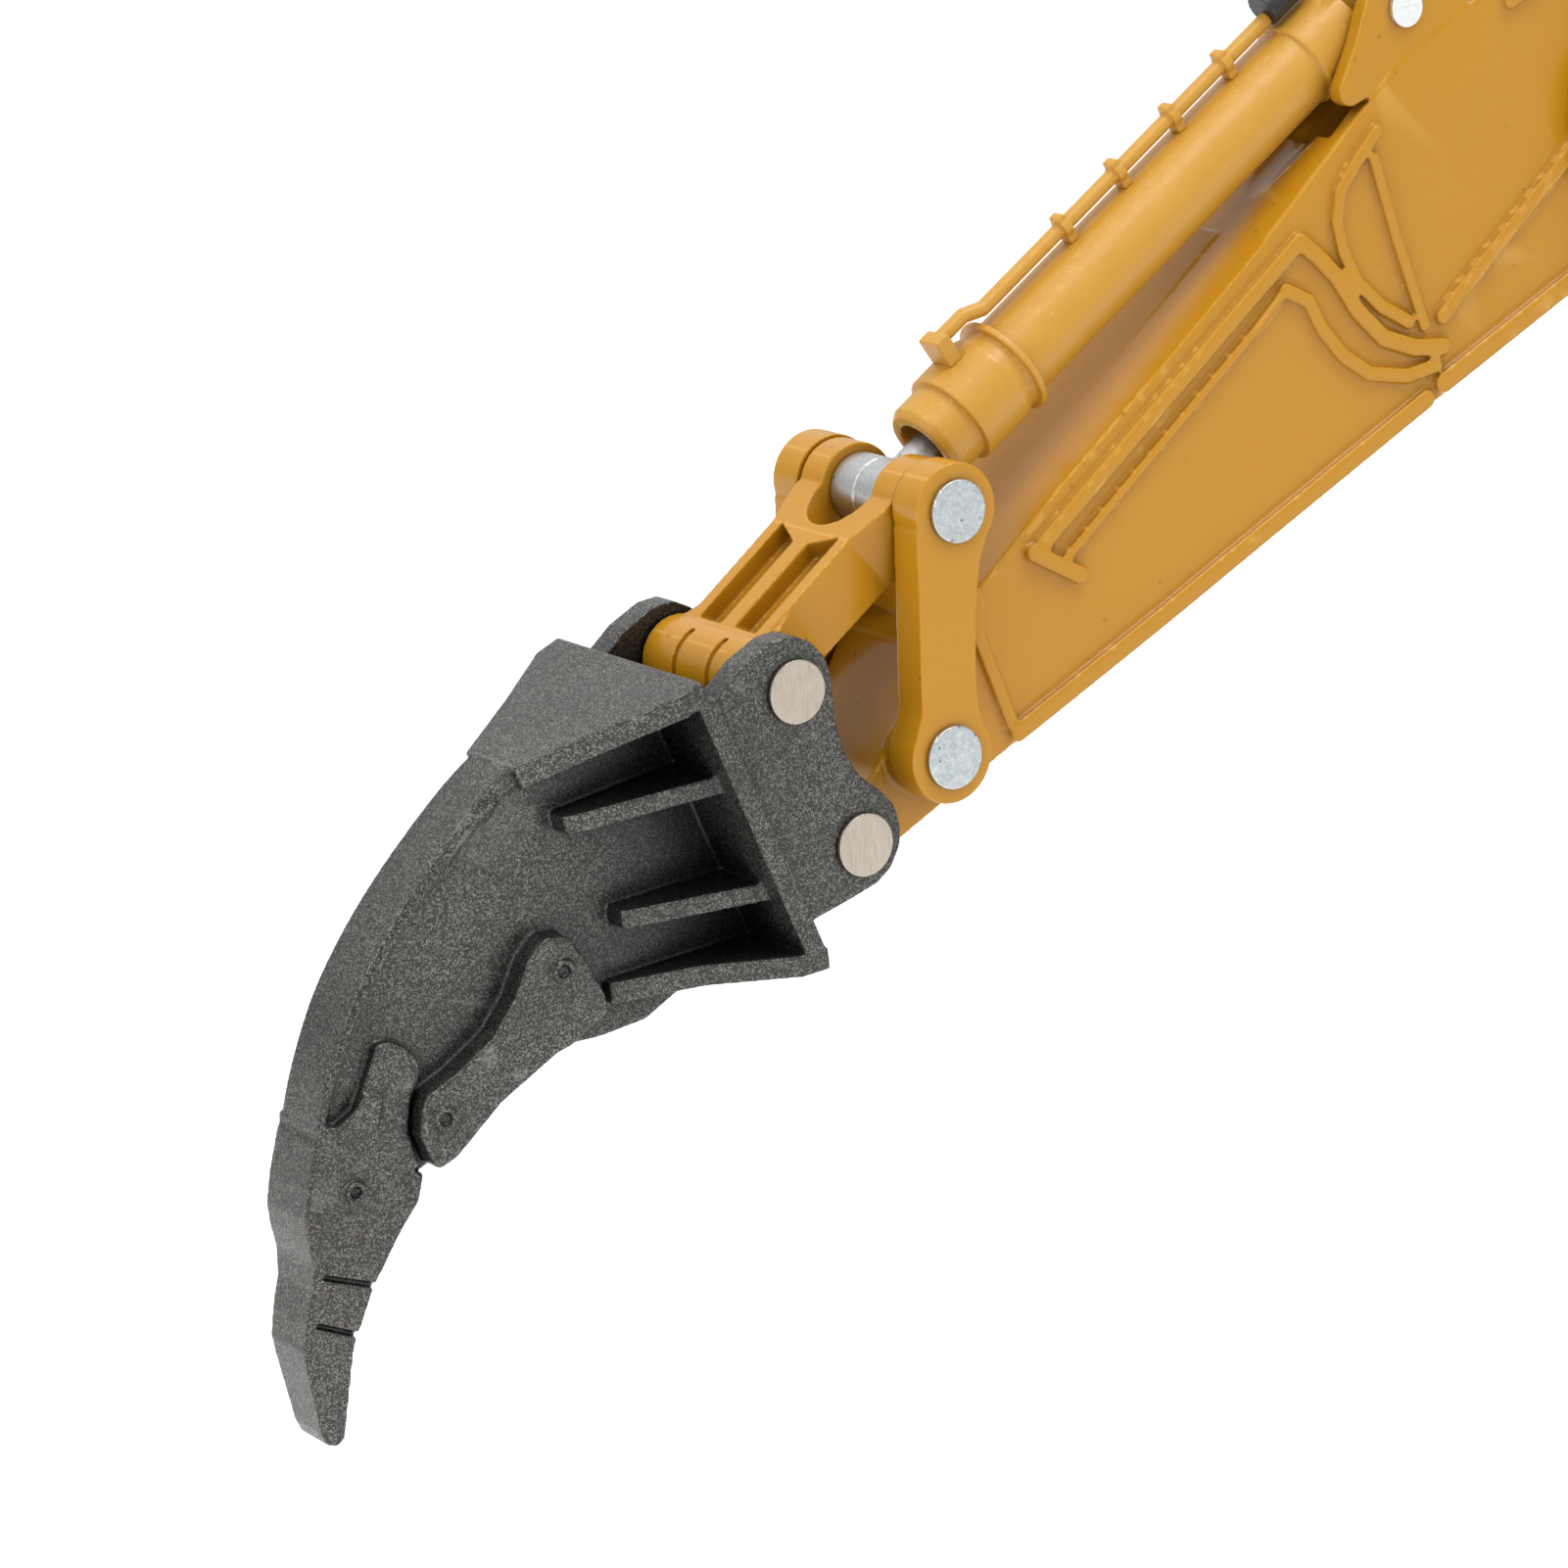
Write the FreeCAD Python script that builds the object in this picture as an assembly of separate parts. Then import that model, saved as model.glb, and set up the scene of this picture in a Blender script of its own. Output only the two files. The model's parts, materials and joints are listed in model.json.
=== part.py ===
import FreeCAD, Part
import os, math

# 1:50 radio-control crawler excavator with a single-shank ripper on the arm.
# +X is forward (towards the ripper), +Y is the cab side, +Z is up.
# The parts are laid out first about the slew axis on the ground, and are then
# moved along X so that the whole machine is centred on the origin.
V = FreeCAD.Vector
os.makedirs("parts", exist_ok=True)

# ----------------------------------------------------------------- dimensions (mm)
X_SHIFT      = -69.25     # slew axis to machine centre
# undercarriage
TRACK_Y      = 28.0       # half gauge
SHOE_W       = 13.0       # track shoe width
WHEEL_X      = 43.0       # sprocket and idler distance from the slew axis
WHEEL_Z      = 12.0       # wheel centre height
TRACK_R      = 12.0       # over the grousers
BELT_IN_R    = 9.5        # inside of the chain
RING_TEETH   = 34
PINION_TEETH = 12
GEAR_M       = 0.7        # module of the slew gears
# upper structure
DECK_Z0, DECK_Z1 = 26.0, 30.0
TAIL_R       = 74.0
HOUSE_W      = 30.0       # half width
CAB_Y0, CAB_Y1 = 11.4, 30.0
CAB_TOP      = 66.0
# boom: foot pin, bend and nose pin
FOOT_X, FOOT_Z = 4.5, 38.0
BOOM_L       = 138.0
BOOM_DEG     = 27.0
BOOM_HW      = 5.0
# arm (stick), in the plane of the linkage, origin at the tip pin
NOSE = (-54.5, 33.9)      # boom nose pin
LEVER = (-61.5, 50.4)     # arm cylinder pin
PIN_A = (-5.44, 3.95)     # idler link lower pin
PIN_B = (-5.54, 16.83)    # link and rod pin
PIN_C = (4.23, 8.50)      # ripper upper pin
PIN_G = (-36.83, 40.75)   # ripper cylinder base pin
STICK_HW     = 3.85
# cylinders
BUCKET_BARREL_R, BUCKET_BORE_R, BUCKET_ROD_R = 2.4, 1.55, 0.85
EAR_IN, EAR_OUT = 4.75, 6.40            # ripper ears, half widths
LINK_IN, LINK_OUT = 4.40, 6.60          # idler links
PLATE_HW     = 6.85                      # ripper end plate and flanges
WEB_HW       = 1.95                      # ripper shank at its front edge
WEB_IN       = 1.60                      # ripper shank behind the edge band
BOOM_CYL_Y   = 8.2
BOOM_BASE    = (17.0, 30.0)
BOOM_ROD_PIN = (46.0, 84.0)
ARM_BASE     = (54.0, 104.0)

# derived
NX = FOOT_X + BOOM_L*math.cos(math.radians(BOOM_DEG))
NZ = FOOT_Z + BOOM_L*math.sin(math.radians(BOOM_DEG))
DX, DZ = NX - NOSE[0], NZ - NOSE[1]       # arm tip pin about the slew axis

def M(p):                                  # arm plane to machine
    return (p[0] + DX, p[1] + DZ)

# ----------------------------------------------------------------- helpers
def box(x0, x1, y0, y1, z0, z1):
    return Part.makeBox(x1-x0, y1-y0, z1-z0, V(x0, y0, z0))

def cy(p, r, y0, y1):                      # cylinder along Y
    return Part.makeCylinder(r, y1-y0, V(p[0], y0, p[1]), V(0, 1, 0))

def cz(x, y, r, z0, z1):
    return Part.makeCylinder(r, z1-z0, V(x, y, z0), V(0, 0, 1))

def rod(a, b, r):
    a, b = V(*a), V(*b)
    return Part.makeCylinder(r, (b-a).Length, a, b-a)

def wire(pts):
    v = [V(*p) for p in pts]
    return Part.makePolygon(v + [v[0]])

def xz(pts, y0, y1):                       # straight-sided prism
    return Part.Face(wire([(p[0], y0, p[1]) for p in pts])).extrude(V(0, y1-y0, 0))

def xy(pts, z0, z1):
    return Part.Face(wire([(p[0], p[1], z0) for p in pts])).extrude(V(0, 0, z1-z0))

def yz(pts, x0, x1):
    return Part.Face(wire([(x0, p[0], p[1]) for p in pts])).extrude(V(x1-x0, 0, 0))

def rounded(pts, rad):
    """closed outline of straight runs joined by tangent arcs; pts are 2-D"""
    n = len(pts); edges = []; out = []
    if not isinstance(rad, (list, tuple)):
        rad = [rad]*n
    for i in range(n):
        p0, p1, p2 = V(pts[i-1][0], pts[i-1][1], 0), V(pts[i][0], pts[i][1], 0), V(pts[(i+1) % n][0], pts[(i+1) % n][1], 0)
        a, b = p0-p1, p2-p1
        la, lb = a.Length, b.Length
        a.normalize(); b.normalize()
        ang = math.acos(max(-1, min(1, a.dot(b))))
        r = rad[i]
        if r <= 0 or ang > math.pi-0.02:
            out.append((p1, None, p1)); continue
        t = min(r/math.tan(ang/2), 0.47*la, 0.47*lb)
        r = t*math.tan(ang/2)
        s, e = p1+a*t, p1+b*t
        bis = a+b; bis.normalize()
        c = p1+bis*(r/math.sin(ang/2))
        m = c-bis*r
        out.append((s, m, e))
    return out

def prism(pts, rad, y0, y1):               # rounded outline in XZ, extruded in Y
    o = rounded(pts, rad)
    def L(v): return V(v.x, y0, v.y)
    edges = []
    for i in range(len(o)):
        s, m, e = o[i]
        if m is not None:
            edges.append(Part.Arc(L(s), L(m), L(e)).toShape())
        nx = o[(i+1) % len(o)][0]
        if (nx-e).Length > 1e-5:
            edges.append(Part.LineSegment(L(e), L(nx)).toShape())
    w = Part.Wire(edges)
    return Part.Face(w).extrude(V(0, y1-y0, 0))

def zprism(pts, rad, z0, z1):              # rounded outline in XY, extruded in Z
    o = rounded(pts, rad)
    def L(v): return V(v.x, v.y, z0)
    edges = []
    for i in range(len(o)):
        s, m, e = o[i]
        if m is not None:
            edges.append(Part.Arc(L(s), L(m), L(e)).toShape())
        nx = o[(i+1) % len(o)][0]
        if (nx-e).Length > 1e-5:
            edges.append(Part.LineSegment(L(e), L(nx)).toShape())
    return Part.Face(Part.Wire(edges)).extrude(V(0, 0, z1-z0))

def fuse(*s):
    a = s[0]
    if len(s) > 1:
        a = a.fuse(list(s[1:]))
    return a.removeSplitter()

def ribbon(pts, w, y0, y1):                # raised line of even width, round ends
    parts = []
    for i, p in enumerate(pts):
        parts.append(cy(p, w/2, y0, y1))
        if i:
            a = pts[i-1]; dx, dz = p[0]-a[0], p[1]-a[1]; l = math.hypot(dx, dz)
            nx, nz = -dz/l*w/2, dx/l*w/2
            parts.append(xz([(a[0]+nx, a[1]+nz), (p[0]+nx, p[1]+nz), (p[0]-nx, p[1]-nz), (a[0]-nx, a[1]-nz)], y0, y1))
    return parts

def both(parts):                           # mirrored in the XZ plane
    return parts + [p.mirror(V(0, 0, 0), V(0, 1, 0)) for p in parts]

def mir(s):
    return s.mirror(V(0, 0, 0), V(0, 1, 0))

NODES = {}
def put(name, shape):
    NODES[name] = shape

def group(name, shapes):
    NODES[name] = Part.makeCompound(shapes)

# ================================================================= ripper (arm plane)
def arm(s):                                # arm plane to machine
    s = s.copy(); s.translate(V(DX, 0, DZ)); return s

ear_pts = [(9.3, 8.3), (7.3, 10.2), (5.6, 11.2), (4.4, 11.4), (3.2, 10.9), (2.35, 10.0), (1.95, 8.9), (1.85, 7.6),
           (1.65, 6.3), (1.05, 4.8), (0.2, 3.6), (-1.0, 2.75), (-1.95, 1.8), (-2.35, 0.6), (-2.3, -0.4), (-1.75, -1.5),
           (-0.9, -2.2), (0.8, -2.85), (3.0, -3.6)]
ears = both([prism(ear_pts + [(4.0, -4.3), (9.6, 7.5)], 0.8, EAR_IN, EAR_OUT)])
# end plate: carries the ears behind and the shank in front
ep0, ep1 = (8.97, 8.32), (2.34, -5.53)
pn = (0.902, -0.431)
et = (ep0[0]+0.26, ep0[1]+0.54)
end_plate = prism([et, ep1, (ep1[0]+pn[0]*1.15, ep1[1]+pn[1]*1.15), (et[0]+pn[0]*1.15, et[1]+pn[1]*1.15)], 0.15, -PLATE_HW, PLATE_HW)
front_key = [(18.12, 5.64), (20.20, 3.95), (22.05, 2.08), (23.75, 0.20), (25.30, -1.75), (26.68, -3.80), (27.85, -5.95), (28.72, -8.20), (29.32, -10.20), (29.66, -12.02)]
def flow(pts, n):                          # points along a smooth curve through pts
    c = Part.BSplineCurve(); c.interpolate([V(p[0], 0, p[1]) for p in pts])
    return [(q.x, q.z) for q in c.discretize(n)]
front = [(10.24, 9.56)] + flow(front_key, 22)
web_pts = front + [(23.74, -14.68), (22.14, -13.88), (19.53, -11.47), (16.12, -9.56), (12.90, -9.36), (10.19, -8.86), (8.39, -7.76), (5.98, -6.65), (2.77, -5.85), (9.09, 8.10)]
web = prism(web_pts, [0.3] + [3]*21 + [0.3, 0.3, 1.5, 3, 3, 2.5, 1.5, 1.5, 2, .3, .3], -WEB_IN, WEB_IN)
# front flange: wide at the end plate, narrowing onto the shank
def flange(line, t, w0, w1, down):
    a, b = line
    dx, dz = b[0]-a[0], b[1]-a[1]; l = math.hypot(dx, dz)
    n = (dz/l*t*down, -dx/l*t*down)
    slab = xz([a, b, (b[0]+n[0], b[1]+n[1]), (a[0]+n[0], a[1]+n[1])], -w0, w0)
    u = (dx/l, dz/l)
    # plan outline cut: prism along the slab normal
    def P(s, y, k): return V(a[0]+u[0]*s+n[0]*k, y, a[1]+u[1]*s+n[1]*k)
    s1 = l*0.16
    sm, wm = l*0.55, (w0+w1)/2-(0.75 if down < 0 else 0.0)
    prof = [P(-1, -w0, -1), P(s1, -w0, -1), P(sm, -wm, -1), P(l, -w1, -1), P(l+1, -w1, -1), P(l+1, w1, -1), P(l, w1, -1), P(sm, wm, -1), P(s1, w0, -1), P(-1, w0, -1)]
    f = Part.Face(Part.makePolygon(prof+[prof[0]])).extrude(V(n[0]*3, 0, n[1]*3))
    return slab.common(f)
top_flange = flange(((10.15, 9.77), (18.45, 5.45)), 1.25, PLATE_HW, 2.35, 1)
bot_flange = flange(((2.29, -6.18), (12.74, -7.54)), 1.15, PLATE_HW, 2.35, -1)
# two gussets each side, from the end plate onto the web
def gusset(a, b, y_end):
    dx, dz = b[0]-a[0], b[1]-a[1]; l = math.hypot(dx, dz); n = (-dz/l*0.5, dx/l*0.5)
    slab = xz([(a[0]+n[0], a[1]+n[1]), (b[0]+n[0], b[1]+n[1]), (b[0]-n[0], b[1]-n[1]), (a[0]-n[0], a[1]-n[1])], 0, y_end)
    u = (dx/l, dz/l)
    def P(s, y): return V(a[0]+u[0]*s-n[0]*3, y, a[1]+u[1]*s-n[1]*3)
    prof = [P(-1, y_end), P(0.6, y_end), P(l-0.35, 3.25), P(l, 2.9), P(l, 1.2), P(-1, 1.2)]
    f = Part.Face(Part.makePolygon(prof+[prof[0]])).extrude(V(n[0]*6, 0, n[1]*6))
    return slab.common(f)
gus = both([gusset((7.48, 4.13), (15.81, 2.33), 5.6), gusset((4.07, -1.84), (12.50, -2.99), 5.6)])
# shank protector plates and the adaptor cheek, raised on both faces
shroud_pts = [(24.26, -11.12), (23.96, -10.42), (22.25, -9.51), (20.15, -8.01), (18.84, -6.2), (18.04, -4.29), (17.04, -3.29), (15.73, -3.34), (14.73, -4.6), (13.52, -6.7), (13.32, -7.61), (15.53, -9.11), (16.33, -9.36), (19.65, -11.42), (22.25, -13.83), (23.46, -14.43), (24.41, -12.42)]
shroud = both([prism(shroud_pts, 0.45, 1.4, 3.05)])
cheek_pts = [(29.66, -11.37), (28.66, -11.47), (27.65, -10.87), (27.15, -9.76), (26.70, -8.56), (26.35, -7.60), (25.55, -7.55), (24.64, -8.06), (23.94, -8.76), (23.89, -9.56), (24.44, -10.67), (24.64, -12.27), (23.84, -14.58), (29.61, -12.17)]
cheek = both([prism(cheek_pts, 0.3, 1.4, 2.2)])
cheek_in = both([prism([(28.76, -12.37), (26.45, -11.87), (26.10, -10.06), (27.15, -9.96), (27.76, -10.77), (28.76, -11.47)], 0.2, 2.1, 2.45)])
# tooth: chisel seen from the side, two notches on its rear edge
tooth_pts = [(29.74, -11.99), (30.29, -14.50), (30.49, -16.10), (30.34, -17.21), (30.04, -18.51), (30.04, -19.92), (30.39, -21.52), (30.54, -23.03),
             (30.34, -24.03), (29.48, -27.54), (29.13, -28.25), (28.53, -28.40), (28.13, -28.05), (27.73, -23.53), (27.53, -22.53), (27.28, -22.12), (26.72, -20.52), (26.42, -19.92),
             (24.92, -17.31), (24.01, -16.10), (23.71, -14.70)]
tooth = prism(tooth_pts, 0.25, -2.1, 2.1)
side_cut = lambda s: yz([(1.35, -28.9), (1.8, -22.8), (2.15, -15.3), (2.15, -11.3), (3.5, -11.3), (3.5, -28.9)], 20, 35) if s > 0 else mir(yz([(1.35, -28.9), (1.8, -22.8), (2.15, -15.3), (2.15, -11.3), (3.5, -11.3), (3.5, -28.9)], 20, 35))
tooth = tooth.cut([side_cut(1), side_cut(-1)])
# two grooves across the rear half of each face, and a bevel in front of them
for q in (((29.49, -19.2), (26.0, -20.32)), ((29.85, -21.7), (27.0, -22.79))):
    dx, dz = q[1][0]-q[0][0], q[1][1]-q[0][1]; l = math.hypot(dx, dz); n = (-dz/l*0.14, dx/l*0.14)
    for sg in (1, -1):
        hw = 1.35+0.45*(q[0][1]+28.9)/6.1 if q[0][1] < -22.8 else 1.8+0.35*(q[0][1]+22.8)/7.5
        y0, y1 = (hw-0.34, 3.0) if sg > 0 else (-3.0, -hw+0.34)
        tooth = tooth.cut(xz([(q[0][0]+n[0], q[0][1]+n[1]), (q[1][0]+n[0], q[1][1]+n[1]), (q[1][0]-n[0], q[1][1]-n[1]), (q[0][0]-n[0], q[0][1]-n[1])], y0, y1))
tooth_ring = both([cy((27.76, -14.98), 0.58, 1.5, 2.42).cut(cy((27.76, -14.98), 0.32, 2.0, 2.6))])
rings = []
for c in ((15.96, -5.15), (22.94, -11.77)):
    rings += both([cy((c[0]+0.12, c[1]+0.05), 0.64, 2.8, 3.32).cut(cy((c[0]+0.12, c[1]+0.05), 0.36, 2.9, 3.5))])
# raised band along the front edge of each face, tapering towards the tooth
bf = flow(front_key, 22)
def inward(w0, w1):
    o = []
    for i in range(22):
        a, b = bf[max(i-1, 0)], bf[min(i+1, 21)]; l = math.hypot(b[0]-a[0], b[1]-a[1]); w = w0+(w1-w0)*i/21.0
        o.append((bf[i][0]+(b[1]-a[1])/l*w, bf[i][1]-(b[0]-a[0])/l*w))
    return o
edge = prism([(10.24, 9.56)] + bf + inward(1.00, 0.42)[::-1] + [(9.7, 8.9)], 0, -WEB_HW, WEB_HW)
band = [edge] + both([prism(inward(0.30, 0.25)[2:19] + inward(0.86, 0.36)[2:19][::-1], 0, 1.7, WEB_HW+0.12)])
ripper = fuse(end_plate, web, top_flange, bot_flange, tooth, *(ears+gus+shroud+cheek+cheek_in+tooth_ring+rings+band))
ripper = ripper.cut([cy((0, 0), 0.85, -8, 8), cy(PIN_C, 0.85, -8, 8)])
put("ripper", arm(ripper))
# rivets: shank plus a flat head on each ear
def rivet(p, r, y, rh, th):
    return fuse(cy(p, r, -y-th+0.05, y+th-0.05), cy(p, rh, y+0.02, y+th), cy(p, rh, -y-th, -y-0.02))
group("ripper_rivets", [arm(rivet((0, 0), 0.82, EAR_OUT, 1.67, 0.30)), arm(rivet(PIN_C, 0.82, EAR_OUT, 1.67, 0.30))])

# ================================================================= idler links, link rivets
def idler_shape(y0, y1):
    # shank with hollow transitions into both bosses
    sh = prism([(-7.75, 15.85), (-7.15, 14.2), (-6.95, 12.6), (-6.9, 8.2), (-7.1, 6.4), (-7.8, 4.6), (-5.4, 3.6), (-3.05, 4.6), (-3.55, 6.4), (-3.45, 8.2), (-3.3, 12.6),
                (-3.2, 14.4), (-3.15, 15.9), (-5.5, 16.9)], [0, 2, 6, 6, 2, 0, 0, 0, 2, 6, 6, 2, 0, 0], y0, y1)
    return fuse(sh, cy(PIN_B, 2.48, y0, y1), cy(PIN_A, 2.5, y0, y1))
def hole(s, p, r): return s.cut(cy(p, r, -9, 9))
il = hole(hole(idler_shape(LINK_IN, LINK_OUT), PIN_B, 0.9), PIN_A, 0.9)
put("idler_link_left", arm(il))
put("idler_link_right", arm(mir(il)))
put("link_rivet", arm(rivet(PIN_B, 0.88, LINK_OUT, 1.65, 0.32)))
put("idler_pivot_rivet", arm(rivet(PIN_A, 0.84, LINK_OUT+0.02, 1.67, 0.30)))

# ================================================================= H-link
bx, bz = PIN_B; cx_, cz_ = PIN_C
lx, lz = cx_-bx, cz_-bz; ll = math.hypot(lx, lz); ux, uz = lx/ll, lz/ll; nx, nz = -uz, ux   # n points up and forward
def HL(s, t): return (bx+ux*s+nx*t, bz+uz*s+nz*t)
HB = 3.5                                    # half width of the waist
hb = xz([HL(0.2, -2.0), HL(ll-0.3, -1.8), HL(ll-0.3, 1.75), HL(0.2, 1.8)], -HB, HB)
h = fuse(hb, cy(PIN_B, 2.35, -4.25, 4.25), cy(PIN_C, 2.25, -4.55, 4.55))
# the cheeks flare out to the width of the upper boss, and a little at the lower one
def HP(s, y, t): return V(*(HL(s, t)[0], y, HL(s, t)[1]))
def plan(pts, t0, t1):
    f = Part.Face(Part.makePolygon([HP(p[0], p[1], t0) for p in pts] + [HP(pts[0][0], pts[0][1], t0)]))
    d = HP(0, 0, t1).sub(HP(0, 0, t0))
    return f.extrude(d)
flare = plan([(0.0, 4.25), (2.2, 4.25), (3.2, 3.95), (4.4, 3.5), (4.4, -3.5), (3.2, -3.95), (2.2, -4.25), (0.0, -4.25)], -1.95, 1.8)
foot = plan([(ll-3.6, 3.5), (ll-2.4, 3.8), (ll-1.4, 4.4), (ll-0.4, 4.4), (ll-0.4, -4.4), (ll-1.4, -4.4), (ll-2.4, -3.8), (ll-3.6, -3.5)], -1.7, 1.6)
h = fuse(h, flare, foot)
# round-ended notch for the rod eye
no = plan([(-4.5, 2.25), (1.75, 2.25), (1.75, -2.25), (-4.5, -2.25)], -4.0, 4.0)
nr = Part.makeCylinder(2.25, 8.0, HP(1.75, 0, -4.0), HP(0, 0, 1).sub(HP(0, 0, 0)))
h = h.cut([no, nr])
# two long pockets in the top, their upper ends following the notch
for s_ in (-1, 1):
    pk = [(4.45, 2.65), (5.35, 0.62), (ll-1.6, 0.62), (ll-1.6, 2.65)]
    h = h.cut(plan([(p[0], s_*p[1]) for p in pk], 0.75, 3.0))
h = fuse(h, cy(PIN_C, 2.25, -4.55, 4.55))                  # boss stays whole under the pockets
for y in (-1.55, 1.55):                     # shallow grooves round the lower boss
    g = cy(PIN_C, 2.6, y-0.20, y+0.20).cut(cy(PIN_C, 1.95, y-0.3, y+0.3))
    g = g.common(xz([HL(ll-0.6, -4), HL(ll+4, -4), HL(ll+4, 4), HL(ll-0.6, 4)], -3, 3))
    h = h.cut(g)
h = h.cut([cy(PIN_B, 0.93, -9, 9), cy(PIN_C, 1.42, -9, 9)])
put("h_link", arm(h))

# ================================================================= ripper cylinder
gx, gz = PIN_G
bl = math.hypot(gx-bx, gz-bz); wx, wz = (gx-bx)/bl, (gz-bz)/bl          # B to G
qx, qz = -wz, wx                                                        # across (down/forward is -)
if qz < 0: qx, qz = -qx, -qz
OFF = 0.1                                                               # barrel axis above the pin line
def BC(s, t=0): return (bx+wx*s+qx*t, 0, bz+wz*s+qz*t)
def tube(s0, s1, r, t=0.0): return rod(BC(s0, t), BC(s1, t), r)
GL = bl-36.10                                                            # gland face from B
# steel rod and its eye sleeve
eye = cy(PIN_B, 1.85, -2.12, 2.12)
brod = fuse(tube(0.9, 31.5, BUCKET_ROD_R), eye).cut(cy(PIN_B, 0.94, -4, 4))
brod = brod.cut(cy(PIN_B, 2.2, -0.06, 0.06).cut(cy(PIN_B, 1.72, -0.1, 0.1)))
put("ripper_cylinder_rod", arm(brod))
barrel = fuse(tube(GL+6.4, bl-4.6, BUCKET_BARREL_R, OFF), tube(bl-5.4, bl-1.9, 2.62, OFF))
tail = prism([(BC(bl-6.0, OFF)[0]+qx*1.5, BC(bl-6.0, OFF)[2]+qz*1.5), (gx+qx*3.0, gz+qz*3.0), (gx+wx*2.4+qx*2.0, gz+wz*2.4+qz*2.0),
              (gx+wx*2.4-qx*2.0, gz+wz*2.4-qz*2.0), (gx-qx*3.0, gz-qz*3.0), (BC(bl-6.0, OFF)[0]-qx*1.5, BC(bl-6.0, OFF)[2]-qz*1.5)], 1.2, -1.6, 1.6)
barrel = fuse(barrel, tail)
bore = tube(GL-1, bl-6.6, BUCKET_BORE_R, OFF)
# the base eye is a slot across the barrel: it lets the barrel follow its rod
SA, SL = 2.40, 1.10
gslot = prism([(gx+qx*SA+wx*SL, gz+qz*SA+wz*SL), (gx+qx*SA-wx*SL, gz+qz*SA-wz*SL), (gx-qx*SA-wx*SL, gz-qz*SA-wz*SL), (gx-qx*SA+wx*SL, gz-qz*SA+wz*SL)], 0.6, -3, 3)
def cone(s0, s1, r0, r1, t):
    p, q = V(*BC(s0, t)), V(*BC(s1, t)); return Part.makeCone(r0, r1, q.sub(p).Length, p, q.sub(p))
gland = fuse(cone(GL, GL+0.45, 2.12, 2.4, OFF), tube(GL+0.4, GL+2.35, 2.4, OFF), tube(GL+2.2, GL+5.3, 2.75, OFF), cone(GL+5.3, GL+5.9, 2.75, 2.55, OFF), tube(GL+5.8, GL+6.5, 2.55, OFF), tube(GL+6.3, GL+6.7, 2.92, OFF))
barrel = fuse(barrel, gland).cut([bore, gslot])
put("ripper_cylinder_barrel", arm(barrel))
# feed pipe with its square block and four clips
PT = 3.42
def tub(a, b, r): return rod(a, b, r)
def BX(s, t): q = BC(s, t); return (q[0], q[2])
def slab(s0, s1, t0, t1, y): return prism([BX(s0, t0), BX(s1, t0), BX(s1, t1), BX(s0, t1)], 0.12, -y, y)
blk = slab(GL+3.55, GL+4.45, 2.4, 4.35, 0.85)
pipe = [blk, tub(BC(GL+4.3, PT+0.55), BC(GL+6.1, PT+0.55), 0.42), tub(BC(GL+6.1, PT+0.55), BC(GL+7.3, PT), 0.42),
        Part.makeSphere(0.42, V(*BC(GL+6.1, PT+0.55))), Part.makeSphere(0.42, V(*BC(GL+7.3, PT))), tub(BC(GL+7.3, PT), BC(bl-5.4, PT), 0.42)]
for s in (GL+13.8, GL+18.2, GL+22.7, GL+27.05):
    pipe += [tub(BC(s-0.28, PT), BC(s+0.28, PT), 0.62), slab(s-0.28, s+0.28, 2.2, PT+0.75, 0.42)]
pipe = fuse(*pipe).cut([tube(GL-1, bl, BUCKET_BARREL_R, OFF), tube(GL+2, GL+5.3, 2.75, OFF), cone(GL+5.3, GL+5.9, 2.75, 2.55, OFF), tube(GL+5.8, GL+6.5, 2.55, OFF), tube(GL+6.3, GL+6.7, 2.93, OFF), tube(bl-5.5, bl-1.8, 2.63, OFF)])
pipe = Part.makeCompound([max(pipe.Solids, key=lambda s: s.Volume)]) if len(pipe.Solids) > 1 else pipe
put("ripper_cylinder_pipe", arm(pipe))
elbow = fuse(tub(BC(bl-5.40, PT+0.5), BC(bl-3.0, PT+0.5), 1.0), Part.makeSphere(1.0, V(*BC(bl-3.0, PT+0.5))), tub(BC(bl-3.0, PT+0.5), BC(bl-2.2, PT+2.1), 0.9))
put("ripper_cylinder_elbow", arm(elbow))

# ================================================================= arm (stick)
stick_pts = [(-2.33, 2.61), (-5.74, 8.99), (-8.96, 11.95), (-13.68, 16.37), (-19.76, 21.70), (-27.24, 28.43), (-36.28, 37.47), (-41.66, 40.89), (-61.40, 52.69),
             (-65.02, 51.54), (-65.02, 48.32), (-61.30, 41.89), (-60.60, 36.47), (-60.29, 31.04), (-57.38, 28.73), (-53.56, 26.87), (-48.94, 24.31), (-28.35, 12.76), (-12.83, 4.22), (-4.03, -0.81), (-1.72, -2.26), (0.49, -2.21), (1.49, -0.30), (0.49, 1.71)]
core = prism(stick_pts, [2, 2, 4, 6, 10, 10, 5, 5, 2.8, 2.6, 3, 5, 6, 4.5, 4, 3, 20, 20, 20, 6, 1.6, 1.6, 1.8, 1.6], -STICK_HW, STICK_HW)
core = fuse(core, cy((0, 0), 2.2, -4.5, 4.5), cy(NOSE, 5.05, -STICK_HW, STICK_HW), cy(LEVER, 2.75, -STICK_HW, STICK_HW))
emb = []
e0, e1 = 3.65, 4.25
def rib(pts, w, y1=e1): emb.extend(ribbon(pts, w, e0, y1))
# lower rim, front cross rib, upper rear rim
rib([(-11.49, 4.06), (-14.80, 5.87), (-20.83, 9.19), (-28.16, 13.35), (-38.91, 19.38)], 1.05)
rib([(-40.12, 20.19), (-48.96, 25.01), (-53.38, 27.42)], 1.15)
rib([(-8.82, 11.45), (-8.92, 9.34), (-11.08, 4.61)], 0.75, 4.18)
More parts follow.
